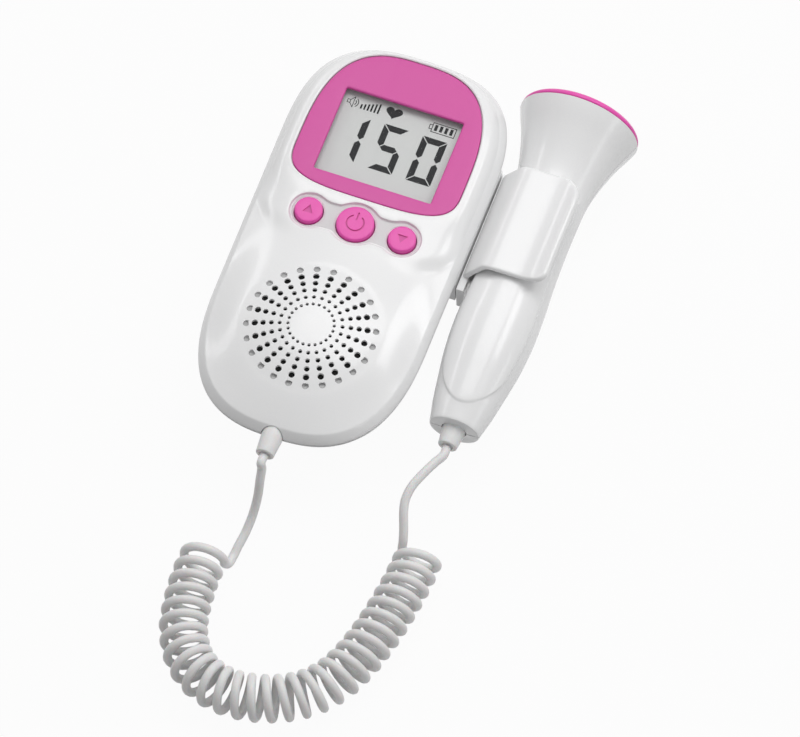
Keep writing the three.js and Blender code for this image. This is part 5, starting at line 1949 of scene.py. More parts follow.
@dataclass
class Display:
    """The dark strokes and symbols of the liquid crystal panel."""

    palette: Palette
    panel_top: float = 28.0
    ink: float = 0.04
    digit_width: float = 8.0
    digit_height: float = 16.2
    digit_foot: float = 26.4
    stroke: float = 2.05
    gap: float = 0.22
    digit_starts: Triple = (-16.8, -4.3, 8.15)
    heart_middle: Pair = (-2.95, 47.0)
    heart_size: float = 0.166
    bar_count: int = 6
    bar_start: float = -13.2
    bar_pitch: float = 1.1
    bar_foot: float = 44.95
    bar_width: float = 0.56
    bar_heights: Pair = (1.6, 3.5)
    charge_start: Pair = (10.95, 45.35)
    charge_count: int = 4
    charge_pitch: float = 1.65
    charge_width: float = 0.95
    charge_heights: Pair = (2.1, 2.1)
    speaker_corners: tuple[Pair, ...] = (
        (-17.9, 47.0), (-17.0, 47.0), (-15.9, 48.3), (-15.9, 44.6), (-17.0, 45.9), (-17.9, 45.9))
    speaker_line: float = 0.2
    arc_middle: Pair = (-16.1, 46.45)
    arcs: tuple[Pair, ...] = ((1.0, 0.75), (1.7, 0.85))
    battery_box: tuple[float, float, float, float] = (9.75, 17.15, 44.75, 47.95)
    battery_pole: Triple = (8.85, 45.6, 47.1)
    sign_line: float = 0.24

    def _polygon(self, plan: Rows) -> Body:
        """A thin dark shape on the panel."""
        return polygon_body(plan, self.panel_top, self.panel_top + self.ink)

    def _stroke(self, segment: Segment) -> Points:
        """Draws one stroke of a digit, from the digit's lower left corner.

        Args:
            segment: which stroke.

        Returns:
            Its corners.
        """
        wide, tall, thick, gap = self.digit_width, self.digit_height, self.stroke, self.gap
        middle = tall / 2
        if segment is Segment.MIDDLE:
            near, far, half = thick / 2 + gap, wide - thick / 2 - gap, thick / 2
            return np.array([
                [near, middle], [near + half, middle - half], [far - half, middle - half], [far, middle],
                [far - half, middle + half], [near + half, middle + half]])
        if segment in (Segment.TOP, Segment.FOOT):
            plan = np.array([[gap, tall], [wide - gap, tall], [wide - thick - gap, tall - thick],
                             [thick + gap, tall - thick]])
            return plan if segment is Segment.TOP else plan * [1, -1] + [0, tall]
        plan = np.array([[0, tall - gap], [thick, tall - thick - gap], [thick, middle + thick / 2 + gap],
                         [thick / 2, middle + gap], [0, middle + thick / 2 + gap]])
        if segment in (Segment.UPPER_RIGHT, Segment.LOWER_RIGHT):
            plan = plan * [-1, 1] + [wide, 0]
        if segment in (Segment.LOWER_LEFT, Segment.LOWER_RIGHT):
            plan = plan * [1, -1] + [0, tall]
        return plan

    def _digits(self) -> list[Body]:
        """Draws a sample reading of one hundred and fifty.

        Returns:
            The digits' strokes.
        """
        one = (Segment.UPPER_RIGHT, Segment.LOWER_RIGHT)
        five = (Segment.TOP, Segment.UPPER_LEFT, Segment.MIDDLE, Segment.LOWER_RIGHT, Segment.FOOT)
        zero = tuple(segment for segment in Segment if segment is not Segment.MIDDLE)
        bodies = []
        for start, segments in zip(self.digit_starts, (one, five, zero)):
            corner = [start, self.digit_foot]
            bodies += [self._polygon(self._stroke(segment) + corner) for segment in segments]
        return bodies

    def _heart(self) -> Body:
        """Draws a plain heart sign.

        Returns:
            Its body.
        """
        turn = np.linspace(0, 2 * math.pi, 72, endpoint=False)
        across = 16 * np.sin(turn) ** 3
        over = 13 * np.cos(turn) - 5 * np.cos(2 * turn) - 2 * np.cos(3 * turn) - np.cos(4 * turn)
        return self._polygon(np.column_stack([across, over * 0.85]) * self.heart_size + self.heart_middle)

    def _frame_of_lines(self, lines: Rows, width: float) -> list[Body]:
        """Draws straight strokes.

        Args:
            lines: each stroke's start and end, as (x0, y0, x1, y1).
            width: their width.

        Returns:
            Their bodies.
        """
        bodies = []
        for x0, y0, x1, y1 in lines:
            start, end = np.array([x0, y0]), np.array([x1, y1])
            along = (end - start) / np.linalg.norm(end - start) * width / 2
            side = np.array([-along[1], along[0]])
            bodies.append(self._polygon([start - along - side, end + along - side, end + along + side,
                                         start - along + side]))
        return bodies

    def _arc(self, radius: float, sweep: float) -> list[Body]:
        """Draws a curved stroke before the loudspeaker sign.

        Args:
            radius: its radius.
            sweep: its reach to both sides, in radians.

        Returns:
            Its straight parts.
        """
        x, y = self.arc_middle
        points = [(x + radius * math.cos(t), y + radius * math.sin(t)) for t in np.linspace(-sweep, sweep, 9)]
        return self._frame_of_lines([(*a, *b) for a, b in zip(points, points[1:])], self.sign_line)

    def _speaker(self) -> list[Body]:
        """Draws a small loudspeaker sign in outline, with two sound arcs.

        Returns:
            Its strokes.
        """
        corners = list(self.speaker_corners)
        lines = [(*a, *b) for a, b in zip(corners, corners[1:] + corners[:1])]
        bodies = self._frame_of_lines([*lines, (*corners[4], *corners[1])], self.speaker_line)
        for radius, sweep in self.arcs:
            bodies += self._arc(radius, sweep)
        return bodies

    def _battery(self) -> list[Body]:
        """Draws a battery sign in outline, with its pole on the left.

        Returns:
            Its strokes.
        """
        left, right, low, high = self.battery_box
        end, foot, head = self.battery_pole
        lines = [(left, low, right, low), (right, low, right, high), (right, high, left, high),
                 (left, high, left, low)]
        pole = [(left, foot, end, foot), (end, foot, end, head), (end, head, left, head)]
        return self._frame_of_lines([*lines, *pole], self.sign_line)

    def _bars(self, name: str, start: Pair, pitch: float, width: float, count: int, heights: Pair,
              finish: Material) -> Piece:
        """Makes a row of bars, each a little taller than the one before, with one node tree.

        Args:
            name: the piece's name.
            start: the first bar's middle and the row's foot.
            pitch: distance between bars.
            width: a bar's width.
            count: the number of bars.
            heights: the first and the last bar's height.
            finish: the material.

        Returns:
            The row.
        """
        piece = add_piece(name, np.zeros((0, 3)), [], finish)
        tree = Tree(name)
        place = DATUM.row([[start[0], start[1], self.panel_top + self.ink / 2]])[0]
        steps = tree.size("Bars", count)
        pitch_size, wide = tree.size("Pitch", pitch * MM), tree.size("Bar width", width * MM)
        growth = (heights[1] - heights[0]) / max(count - 1, 1)
        least = tree.size("First height", heights[0] * MM)
        step = tree.size("Height step", growth * MM)
        row = tree.add("GeometryNodeMeshLine", {
            "Count": steps, "Start Location": place.tolist(), "Offset": tree.vector(pitch_size, 0.0, 0.0)})
        rise = tree.math("MULTIPLY_ADD", tree.add("GeometryNodeInputIndex"), step, least)
        half = tree.math("MULTIPLY", rise, 0.5)
        lifted = tree.add("GeometryNodeSetPosition", {"Geometry": row, "Offset": tree.vector(0.0, half, 0.0)})
        bar = tree.add("GeometryNodeMeshCube", {"Size": (1.0, 1.0, self.ink * MM)})
        bars = tree.add("GeometryNodeInstanceOnPoints", {
            "Points": lifted, "Instance": bar, "Scale": tree.vector(wide, rise, 1.0)})
        return tree.apply(piece, bars, Shading.FLAT)

    def build(self) -> None:
        """Makes the panel's dark shapes."""
        ink = self.palette["display_ink"]
        shapes = {"display_digits": joined(self._digits()), "display_heart": self._heart(),
                  "display_signs": joined([*self._speaker(), *self._battery()])}
        pieces = [add_piece(name, *body, ink, Shading.FLAT) for name, body in shapes.items()]
        pieces.append(self._bars("display_volume_bars", (self.bar_start, self.bar_foot), self.bar_pitch,
                                 self.bar_width, self.bar_count, self.bar_heights, ink))
        pieces.append(self._bars("display_charge_bars", self.charge_start, self.charge_pitch,
                                 self.charge_width, self.charge_count, self.charge_heights, ink))
        for piece in pieces:
            dress(piece, "unit", "display_grey")


@dataclass
class Buttons:
    """The three pink keys with sunk symbols."""

    palette: Palette
    tops: Triple = (32.2, 32.6, 32.2)
    flange_top: float = 28.0
    flange_bottom: float = 27.1
    flange_reach: float = 0.8
    edge: float = 0.55
    stem_radius: float = 1.6
    symbol_depth: float = 0.5
    # Thickness of the darker pink sheet of painted shade on a symbol's floor
    symbol_shade_thickness: float = 0.12
    # Shares of the power symbol's radius: the ring's bore, its gap's half width, and the bar's two ends
    ring_bore: float = 0.82
    ring_gap: float = 0.47
    bar_ends: Pair = (0.37, 1.3)
    bar_slimness: float = 12.0
    # The triangle's half width as a share of its key's radius, and its foot as a share of its own size
    arrow_share: float = 0.374
    arrow_foot: float = 0.7

    def _symbol(self, x: float, radius: float, floor: float, above: float, role: str) -> list[Body]:
        """Builds a key's symbol between two heights.

        Args:
            x: the key's place across.
            radius: the key's radius.
            floor: the symbol's low end.
            above: its high end.
            role: the key's task.

        Returns:
            A triangle, or a broken ring and a bar.
        """
        y = POWER_BUTTON_Y
        if role == "power":
            size = radius / 2
            helper = add_piece("symbol_helper", *post_body(x, y, floor, above, size, sides=64),
                               bpy.data.materials[0])
            gap, half = size * self.ring_gap, size / self.bar_slimness
            foot, head = (y + size * share for share in self.bar_ends)
            carve(helper, [post_body(x, y, floor - 1, above + 1, size * self.ring_bore, sides=64),
                           box_body(x - gap, x + gap, y, y + size * 2, floor - 1, above + 1)])
            bar = box_body(x - half, x + half, foot, head, floor, above)
            return [loose_body(helper), bar]
        turn = 1 if role == "volume_up" else -1
        foot = -self.arrow_foot * turn
        corners = np.array([[-1, foot], [1, foot], [0, turn]]) * (radius * self.arrow_share)
        return [polygon_body(corners + [x, y], floor, above)]

    def build(self) -> None:
        """Makes the keys, each with its sunk symbol and a darker pink sheet of painted shade on the symbol's
        floor.
        """
        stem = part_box("power_button")[0].z / MM
        roles = ("volume_up", "power", "volume_down")
        for role, x, radius, top in zip(roles, BUTTON_PLACES, BUTTON_RADII, self.tops):
            flange = radius + self.flange_reach
            profile = [(0, stem), (self.stem_radius, stem), (self.stem_radius, self.flange_bottom),
                       (flange, self.flange_bottom), (flange, self.flange_top), (radius, self.flange_top),
                       (radius, top - 0.02), (radius * 0.6, top + 0.04), (0, top)]
            points, faces = lathe(rounded(profile, self.edge, 5), x, POWER_BUTTON_Y, 0, "Z", 72)
            piece = add_piece(f"{role}_cap", points, faces, self.palette["pink_button"])
            floor = top - self.symbol_depth
            carve(piece, self._symbol(x, radius, floor, top + 0.5, role))
            dress(piece, f"{role}_key", "pink_button", f"{role}_button")
            # A darker pink sheet on the symbol's floor: painted shade in the sunk symbol
            shape = joined(self._symbol(x, radius, floor, floor + self.symbol_shade_thickness, role))
            symbol_shade = add_piece(f"{role}_mark", *shape, self.palette["pink_plate"], Shading.FLAT)
            dress(symbol_shade, f"{role}_key", "pink_plate")


@dataclass
class Holder:
    """The side holder: strap over the probe and back leg as bands with rounded rims, and a block web and
    hook.
    """

    palette: Palette
    thickness: float = 2.2
    strap_line: tuple[Pair, ...] = (
        (35.7, 11.0), (35.7, 21.5), (41.9, 31.4), (44.1, 32.1), (53.6, 32.1), (57.2, 32.8), (61.6, 35.2))
    leg_line: tuple[Pair, ...] = ((35.7, 21.5), (35.7, 11.0), (41.5, 7.1), (57.0, 7.1))
    bend_radius: float = 2.2
    line_points: int = 160
    back_inset: float = 0.12
    spacing: float = 1.1
    strap_ends: Pair = (3.8, 40.9)
    strap_radii: Pair = (3, 8)
    leg_ends: Pair = (9, 33)
    leg_radii: Pair = (3, 3)
    rim: float = 0.8
    # The web and the hook, as low and high x, y and z
    web: tuple[float, ...] = (34.6, 36.8, -0.8, 41.6, 11, 21.5)
    hook: tuple[float, ...] = (34.6, 37, -0.8, 3.5, 11, 19.3)
    screw_places: Pair = (7, 35)
    screw_height: float = 17.2
    hole_reach: Pair = (34, 35.7)
    hole_radius: float = 0.9

    def band(self, line: Rows, y0: float, y1: float, far_radii: Pair, side: int) -> Body:
        """Builds a band of even thickness over a bent line.

        Args:
            line: its middle line, as (x, z) pairs.
            y0: where it starts along the unit.
            y1: where it ends.
            far_radii: the radii of its two corners at the line's far end, lower and upper.
            side: 1 where the line's left side faces out, -1 where its right side does.

        Returns:
            Points and faces.
        """
        smooth = by_length(np.array(rounded(line, self.bend_radius, 8)), self.line_points)
        tangent = np.gradient(smooth, axis=0)
        tangent /= np.linalg.norm(tangent, axis=1)[:, None]
        normal = np.column_stack([-tangent[:, 1], tangent[:, 0]]) * side
        distance = np.concatenate([[0], np.cumsum(np.linalg.norm(np.diff(smooth, axis=0), axis=1))])
        length = distance[-1]

        def place(plan: Points, offset: Points | float) -> Points:
            """Sets plan points on the bent band.

            Args:
                plan: distances along the line, and places along the unit.
                offset: how far they stand off its middle.

            Returns:
                The points.
            """
            along = np.clip(plan[:, 0], 0, length)
            middle = np.column_stack([np.interp(along, distance, smooth[:, k]) for k in range(2)])
            out = np.column_stack([np.interp(along, distance, normal[:, k]) for k in range(2)])
            moved = middle + out * np.broadcast_to(offset, len(plan))[:, None]
            return np.column_stack([moved[:, 0], plan[:, 1], moved[:, 1]])

        def outline(inset: float) -> Points:
            """Draws the band's plan with rounded corners.

            Args:
                inset: how far it is moved inwards.

            Returns:
                Points along it.
            """
            corners = ((0, y0, self.rim, 180), (length, y0, far_radii[0], 270),
                       (length, y1, far_radii[1], 0), (0, y1, self.rim, 90))
            points = []
            for x, y, radius, start in corners:
                radius = max(radius - inset, 0.05)
                turn = np.radians(start + np.linspace(0, 90, 12))
                middle_x = x + (radius + inset) * (1 if x == 0 else -1)
                middle_y = y + (radius + inset) * (1 if y == y0 else -1)
                points.append([middle_x, middle_y] + radius * np.column_stack([np.cos(turn), np.sin(turn)]))
            return resample(np.vstack(points), RIM_POINTS)

        plate = Plate()
        half, rim = self.thickness / 2, self.rim
        for turn in np.linspace(0, math.pi / 2, 6):
            loop = outline(rim * (1 - math.cos(turn)))
            height = (half - rim) + rim * math.sin(turn)
            plate.ring(loop, place(loop, height), place(loop, -height + self.back_inset))
        loose = hex_points(0, length, y0, y1, self.spacing)
        inner = outline(rim * 1.6)
        loose = loose[within(inner, loose[:, 0], loose[:, 1])]
        plate.scatter(loose, place(loose, half), place(loose, -half + self.back_inset))
        points, faces = plate.body(everywhere)
        if side < 0:
            faces = [tuple(reversed(face)) for face in faces]
        return points, faces

    def build(self) -> None:
        """Makes the holder and puts it in the place of its CAD node."""
        strap = self.band(self.strap_line, *self.strap_ends, self.strap_radii, 1)
        leg = self.band(self.leg_line, *self.leg_ends, self.leg_radii, -1)
        piece = add_piece("side_holder", *strap, self.palette["white_gloss"])
        carve(piece, [leg, box_body(*self.web), box_body(*self.hook)], "UNION")
        carve(piece, [self._hole(y) for y in self.screw_places])
        dress(piece, "unit", "white_gloss", "probe_holder")

    def _hole(self, y: float) -> Body:
        """A screw's way into the web, at a place along the unit."""
        points, faces = post_body(0, 0, *self.hole_reach, self.hole_radius)
        return np.column_stack([points[:, 2], points[:, 1] + y, self.screw_height - points[:, 0]]), faces


@dataclass
class Probe:
    """The probe: two shells with a raised grip, a pink face cap, and the glands of both cord ends."""

    palette: Palette
    stations: tuple[float, ...] = (0, 2, 7, 15, 25, 35.5, 47, 56, 68, 77, 86, 94, 103, 109, 111.4)
    radii: tuple[float, ...] = (
        8, 8.4, 9.5, 10.8, 12.2, 12.8, 12.5, 11.9, 11.5, 11.5, 11.8, 13.2, 15.8, 18.2, 19.1)
    wall: float = 2.0
    flat_share: float = 0.88
    round_from: float = 84.0
    split: float = 0.15
    bore: float = 4.0
    spacing: float = 1.3
    least_gap: float = 0.7
    shell_points: int = 300
    second_rim: float = 0.35
    row_points: int = 30
    row_margin: float = 0.9
    fill_start: float = 2.2
    fill_margins: Pair = (0.6, 0.5)
    grip_points: int = 240
    grip_fill: float = 0.2
    grip_start: float = 6.0
    grip_end: float = 84.0
    grip_round: float = 13.0
    grip_inset: float = 1.5
    grip_rise: float = 0.5
    unrolled_radius: float = 12.0
    screw_stations: Pair = (41.0, 80.0)
    post_radius: float = 2.8
    post_gap: float = 0.9
    pilot_radius: float = 0.9
    pilot_heights: Pair = (10.5, 24.5)
    head_bore_radius: float = 2.6
    head_bore_end: float = 11.5
    # The rounded edge between the end wall and the shell: distance over the plan, station, fall in radius
    edge_along: tuple[float, ...] = (-0.9, -0.45, -0.1, 0.3, 0.9)
    edge_stations: tuple[float, ...] = (0, 0.02, 0.12, 0.45, 0.9)
    edge_falls: tuple[float, ...] = (0.9, 0.45, 0.15, -0.05)
    end_rows: tuple[float, ...] = (-3, -2, -1.4, -0.9, -0.45, -0.1, 0.3, 0.9, 1.6)
    grip_rings: tuple[Pair, ...] = ((-0.55, 0.0), (-0.2, 0.06), (0.1, 0.3), (0.4, 0.46), (0.8, 0.5))
    # The cap's part inside the shell, as radius and depth, and its rim, as radius and height
    cap_spigot: Pair = (15.4, 4.0)
    cap_rim: tuple[Pair, ...] = ((18.8, 0.0), (19, 0.9), (18.3, 1.7))
    dome_foot: float = 1.65
    dome_rise: float = 1.15
    fine: Points = field(init=False)

    def __post_init__(self) -> None:
        """Draws a smooth profile through the measured radii."""
        self.fine = spline(list(zip(self.stations, self.radii)), 12)

    def radius(self, station: Points | float) -> Points:
        """The shell's outer radius at a distance from its cord end."""
        return np.interp(station, self.fine[:, 0], self.fine[:, 1])

    def _place(self, plan: Points, rise: Points | float, side: int, inner: bool = False) -> Points:
        """Rolls unrolled points round the probe.

        Args:
            plan: the unrolled points.
            rise: how far they stand out.
            side: 1 for the front shell, -1 for the rear one.
            inner: whether they lie on the shell's inner side.

        Returns:
            The points.
        """
        angle, along, end = plan[:, 0] / self.unrolled_radius, plan[:, 1], float(self.radius(0))
        last = self.edge_along[-1]
        edge = np.interp(along, self.edge_along, self.edge_stations)
        station = np.where(along < last, edge, np.maximum(along, 0))
        edge_radii = [*(end - fall for fall in self.edge_falls), float(self.radius(last))]
        radius = np.where(along < last, np.interp(along, self.edge_along, edge_radii), self.radius(station))
        radius = np.where(along < self.edge_along[0], end + along, radius) + rise
        if inner:
            radius = np.where(along < -2, end + along, np.maximum(radius - self.wall, self.bore + 0.05))
            station = np.where(along < 3, np.maximum(station, self.wall), station)
        roundness = smoothstep(station, self.round_from, self.stations[-1])
        tall = radius * (self.flat_share + (1 - self.flat_share) * roundness)
        return np.column_stack([
            PROBE_X + side * radius * np.sin(angle), PROBE_START_Y + station,
            PROBE_Z + side * (self.split + (tall - self.split) * np.cos(angle))])

    def _grip_loop(self, inset: float) -> Points:
        """Draws the raised panel's outline on the unrolled shell.

        Args:
            inset: how far it is moved inwards.

        Returns:
            Its points.
        """
        station = self.grip_start + (self.grip_end - self.grip_start) * np.linspace(0, 1, 300) ** 1.6
        share = np.minimum((station - self.grip_start) / self.grip_round, 1)
        half = (self.radius(station) - self.grip_inset) * np.sqrt(1 - (1 - share) ** 2)
        across = self.unrolled_radius * np.arcsin(np.clip(half / self.radius(station), 0, 0.999))
        right = np.column_stack([across, station])
        left = right[::-1] * [-1, 1]
        loop = resample(np.vstack([right, left[:-1]]), self.grip_points)
        return loop - outward(loop) * inset

    def _shell(self, side: int) -> Body:
        """Builds one half of the probe, with its share of the end wall.

        Args:
            side: 1 for the front shell, -1 for the rear one.

        Returns:
            Points and faces.
        """
        plate = Plate()
        edge = math.pi / 2 * self.unrolled_radius
        low, high = -(float(self.radius(0)) - self.bore), self.stations[-1]

        def add(plan: Points, rise: Points | float, ring: bool) -> None:
            """Adds unrolled points to both sides of the shell, as a ring or loose."""
            method = plate.ring if ring else plate.scatter
            method(plan, self._place(plan, rise, side), self._place(plan, 0.0, side, True))

        def box_loop(inset: float) -> Points:
            """Draws the unrolled shell's rim.

            Args:
                inset: how far it is moved inwards.

            Returns:
                Its points.
            """
            left, right, foot, head = -edge + inset, edge - inset, low + inset, high - inset
            corners = np.array([[left, foot], [right, foot], [right, head], [left, head]])
            return resample(corners, self.shell_points)

        add(box_loop(0), 0.0, True)
        add(box_loop(self.second_rim), 0.0, False)
        for along in self.end_rows:
            across = np.linspace(-edge + self.row_margin, edge - self.row_margin, self.row_points)
            add(np.column_stack([across, np.full(self.row_points, along)]), 0.0, False)
        if side > 0:
            for inset, rise in self.grip_rings:
                add(self._grip_loop(inset), rise, True)
        across, beyond = edge - self.fill_margins[0], high - self.fill_margins[1]
        loose = hex_points(-across, across, self.fill_start, beyond, self.spacing)
        loose = loose[plate.spaced(loose, self.least_gap)]
        rise = 0.0
        if side > 0:
            panel = within(self._grip_loop(self.grip_fill), loose[:, 0], loose[:, 1])
            rise = np.where(panel, self.grip_rise, 0.0)
        add(loose, rise, False)
        return plate.body(everywhere)

    def build(self) -> None:
        """Makes the probe's pieces."""
        white = self.palette["white_gloss"]
        front = add_piece("probe_front", *self._shell(1), white)
        rear = add_piece("probe_rear", *self._shell(-1), white)
        for piece, node, side in ((front, "probe_front_shell", 1), (rear, "probe_rear_shell", -1)):
            posts, holes = [], []
            for station in self.screw_stations:
                y = PROBE_START_Y + station
                reach = float(self.radius(station)) * self.flat_share - 1
                heights = sorted((PROBE_Z + side * self.post_gap, PROBE_Z + side * reach))
                posts.append(post_body(PROBE_X, y, *heights, self.post_radius))
                holes.append(post_body(PROBE_X, y, *self.pilot_heights, self.pilot_radius))
                if side < 0:
                    holes.append(post_body(PROBE_X, y, 0, self.head_bore_end, self.head_bore_radius))
            carve(piece, posts, "UNION")
            carve(piece, holes)
            dress(piece, "probe", "white_gloss", node)
        self._cap()
        UNIT_GLAND.build("unit_gland", "unit_cable_gland", "unit", self.palette)
        PROBE_GLAND.build("probe_gland", "probe_cable_gland", "probe", self.palette)

    def _cap(self) -> None:
        """The pink face cap, domed over the transducers."""
        back = self.stations[-1] + CLEARANCE
        inner, depth = self.cap_spigot
        rim = [(radius, back + height) for radius, height in self.cap_rim]
        profile = rounded([(0, back - depth), (inner, back - depth), (inner, back), *rim], 0.5, 4)
        foot = back + self.dome_foot
        dome = [(rim[-1][0] * math.cos(t), foot + self.dome_rise * math.sin(t))
                for t in np.linspace(0.12, math.pi / 2 - 0.1, 10)]
        points, faces = lathe([*profile, *dome, (0, foot + self.dome_rise)], PROBE_X, PROBE_START_Y, PROBE_Z,
                              "Y", 120)
        piece = add_piece("probe_cap", points, faces, self.palette["pink_button"])
        dress(piece, "probe", "pink_button", "probe_face_cap")


def repeated(name: str, pattern: Piece, places: Rows, turn: Triple = (0.0, 0.0, 0.0)) -> Piece:
    """Copies a pattern, built round (0, 0, 0), to places with one node tree, and removes the pattern.

    Args:
        name: the new piece's name.
        pattern: the piece that is copied.
        places: where its copies go.
        turn: how each copy is turned, in radians about X, Y and Z.

    Returns:
        The new piece.
    """
    pattern.data.transform(Matrix.Translation(-Vector(DATUM.origin)))
    piece = add_piece(name, np.asarray(places, float), [], pattern.data.materials[0])
    tree = Tree(name)
    turned = tree.vector(*(tree.size(f"Turn {axis}", float(angle)) for axis, angle in zip("XYZ", turn)))
    shape = tree.add("GeometryNodeObjectInfo", {"Object": pattern}, "Geometry")
    copies = tree.add("GeometryNodeInstanceOnPoints", {
        "Points": tree.source, "Instance": shape, "Rotation": turned})
    tree.apply(piece, copies)
    mesh = pattern.data
    bpy.data.objects.remove(pattern)
    bpy.data.meshes.remove(mesh)
    return piece


def along_y(body: Body) -> Body:
    """Lays a body that stands on Z along Y; what was at y is then at height -y."""
    points, faces = body
    return points[:, [0, 2, 1]] * [1, 1, -1], faces


@dataclass
class Fasteners:
    """Cross-head screws with threads: four in the case, two in the holder and two in the probe."""

    palette: Palette
    head_radius: float = 2.3
    head_height: float = 1.6
    core_radius: float = 0.85
    thread_radius: float = 1.12
    pitch: float = 0.9
    recess_depth: float = 1.0
    recess_half: float = 0.27
    recess_share: float = 0.62
    case_length: float = 12.0
    case_height: float = 14.1
    holder_length: float = 6.2
    holder_x: float = 27.4
    probe_length: float = 12.5
    probe_height: float = 9.6

    def _pattern(self, length: float, steel: Material) -> Piece:
        """Makes a screw whose head starts at (0, 0, 0) and whose shank points up.

        Args:
            length: its shank's length.
            steel: its material.

        Returns:
            The screw.
        """
        end, head = self.head_height + length, self.head_radius
        profile = [(0, 0), (head * 0.7, 0.06), (head * 0.93, 0.4), (head, 0.8), (head, self.head_height),
                   (self.core_radius, self.head_height)]
        for z in np.arange(self.head_height + 0.3, end - 1.2, self.pitch):
            profile += [(self.core_radius, z), (self.thread_radius, z + self.pitch * 0.4),
                        (self.core_radius, z + self.pitch * 0.8)]
        turned = lathe([*profile, (0.2, end), (0, end)], 0, 0, 0, "Z", 28)
        arm, half = head * self.recess_share, self.recess_half
        return carve(add_piece("screw_pattern", *turned, steel), [
            box_body(-arm, arm, -half, half, -1, self.recess_depth),
            box_body(-half, half, -arm, arm, -1, self.recess_depth)])

    def build(self) -> None:
        """Makes the three sets of screws."""
        steel, quarter = self.palette["steel"], math.pi / 2
        case = repeated("case_screws", self._pattern(self.case_length, steel),
                        [(x, y, self.case_height) for x, y in CASE_SCREWS])
        dress(case, "unit", "steel", *(f"case_screw_{i}" for i in (1, 2, 3, 4)))
        holder = repeated("holder_screws", self._pattern(self.holder_length, steel),
                          [(self.holder_x, y, Holder.screw_height) for y in Holder.screw_places],
                          (0, quarter, 0))
        dress(holder, "unit", "steel", "holder_screw_1", "holder_screw_2")
        probe = repeated("probe_screws", self._pattern(self.probe_length, steel),
                         [(PROBE_X, PROBE_START_Y + s, self.probe_height) for s in Probe.screw_stations])
        dress(probe, "probe", "steel", "probe_screw_1", "probe_screw_2")


@dataclass
class Power:
    """Two cells and their contacts, which show when the battery lid is off."""

    palette: Palette
    cell_radius: float = 7.1
    cell_length: float = 49.2
    cell_x: float = 7.35
    axis_height: float = 9.4
    near_face: float = -23.7
    far_face: float = 31.9
    plate: float = 0.5
    spring_turns: float = 4.5
    wire_radius: float = 0.34
    wide_turn: float = 3.2
    narrow_turn: float = 1.6
    spring_length: float = 4.2
    contact_half: float = 6.6
    contact_corner: float = 1.2
    bevel: float = 0.12
    cell_starts: Pair = (-18.7, -21.8)

    def _cell(self, name: str, x: float, start: float, side: int) -> None:
        """Makes one cell: a printed sleeve and steel ends.

        Args:
            name: the cell's name.
            x: its place across.
            start: where it starts along the unit.
            side: 1 where its pole points to +Y, otherwise -1.
        """
        size, length = self.cell_radius, self.cell_length
        sleeve = [(0, 0.3), (5.7, 0.3), (6, 0.02), (size, 0.02), (size, length), (5.3, length),
                  (5.1, length - 0.4), (0, length - 0.4)]
        ends = [[(0, 0.02), (5.5, 0.02), (5.5, 0.4), (0, 0.4)],
                [(0, length - 0.5), (4.9, length - 0.5), (4.9, length - 0.15), (2.7, length - 0.1),
                 (2.7, length + 0.9), (2.2, length + 1.1), (0, length + 1.1)]]
        foot = [x, start if side > 0 else start + length, self.axis_height]
        for piece_name, slot, profiles in ((name, "cell_sleeve", [sleeve]), (f"{name}_ends", "steel", ends)):
            bodies = []
            for profile in profiles:
                points, faces = lathe(rounded(profile, 0.35, 4), 0, 0, 0, "Y", 56)
                bodies.append((points * [side, side, 1] + foot, faces))
            piece = add_piece(piece_name, *joined(bodies), self.palette[slot])
            dress(piece, "unit", slot, *(["battery_" + name] if slot == "cell_sleeve" else []))

    def _contact(self, name: str, x0: float, x1: float, y: float, spring: Pair | None) -> None:
        """Makes a contact plate, with a cone spring where one is given.

        Args:
            name: the contact's name.
            x0: where its plate starts.
            x1: where its plate ends.
            y: its plate's place along the unit.
            spring: the spring's place across and its length, which is negative where it points to -Y.
        """
        rings, bevel = [], self.bevel
        for shrink, depth in ((bevel, 0.0), (0, bevel), (0, self.plate - bevel), (bevel, self.plate)):
            loop = rounded_box(x1 - x0 - shrink, self.cell_radius - shrink, -self.axis_height,
                               self.contact_corner)
            rings.append(raised(loop + [(x0 + x1) / 2, 0], y + depth))
        piece = add_piece(f"{name}_plate", *along_y(loft(rings)), self.palette["steel"])
        if spring:
            tree = Tree("Cone spring")
            wire = tree.add("GeometryNodeCurvePrimitiveCircle", {
                "Resolution": 10, "Radius": tree.size("Wire radius", self.wire_radius * MM)})
            coil = tree.add("GeometryNodeCurveSpiral", {
                "Resolution": 28, "Rotations": tree.size("Turns", self.spring_turns),
                "Start Radius": tree.size("Foot radius", self.wide_turn * MM),
                "End Radius": tree.size("Tip radius", self.narrow_turn * MM),
                "Height": tree.size("Height", abs(spring[1]) * MM)})
            round_wire = tree.add("GeometryNodeCurveToMesh", {
                "Curve": coil, "Profile Curve": wire, "Fill Caps": True})
            lean = -math.copysign(math.pi / 2, spring[1])
            place = DATUM.row([[spring[0], y + self.plate / 2, self.axis_height]])[0].tolist()
            moved = tree.add("GeometryNodeTransform", {
                "Geometry": round_wire, "Translation": place, "Rotation": (lean, 0, 0)})
            both = tree.add("GeometryNodeJoinGeometry", {"Geometry": [tree.source, moved]})
            tree.apply(piece, both)
        dress(piece, "unit", "steel", f"battery_{name}")

    def build(self) -> None:
        """Makes the cells and the contacts."""
        inner, outer = self.cell_x - self.contact_half, self.cell_x + self.contact_half
        self._cell("cell_1", -self.cell_x, self.cell_starts[0], 1)
        self._cell("cell_2", self.cell_x, self.cell_starts[1], -1)
        near_spring, far_spring = (-self.cell_x, self.spring_length), (self.cell_x, -self.spring_length)
        self._contact("spring_contact", -outer, -inner, self.near_face, near_spring)
        self._contact("plus_contact", inner, outer, self.near_face, None)
        self._contact("link_contact", -outer, outer, self.far_face, far_spring)


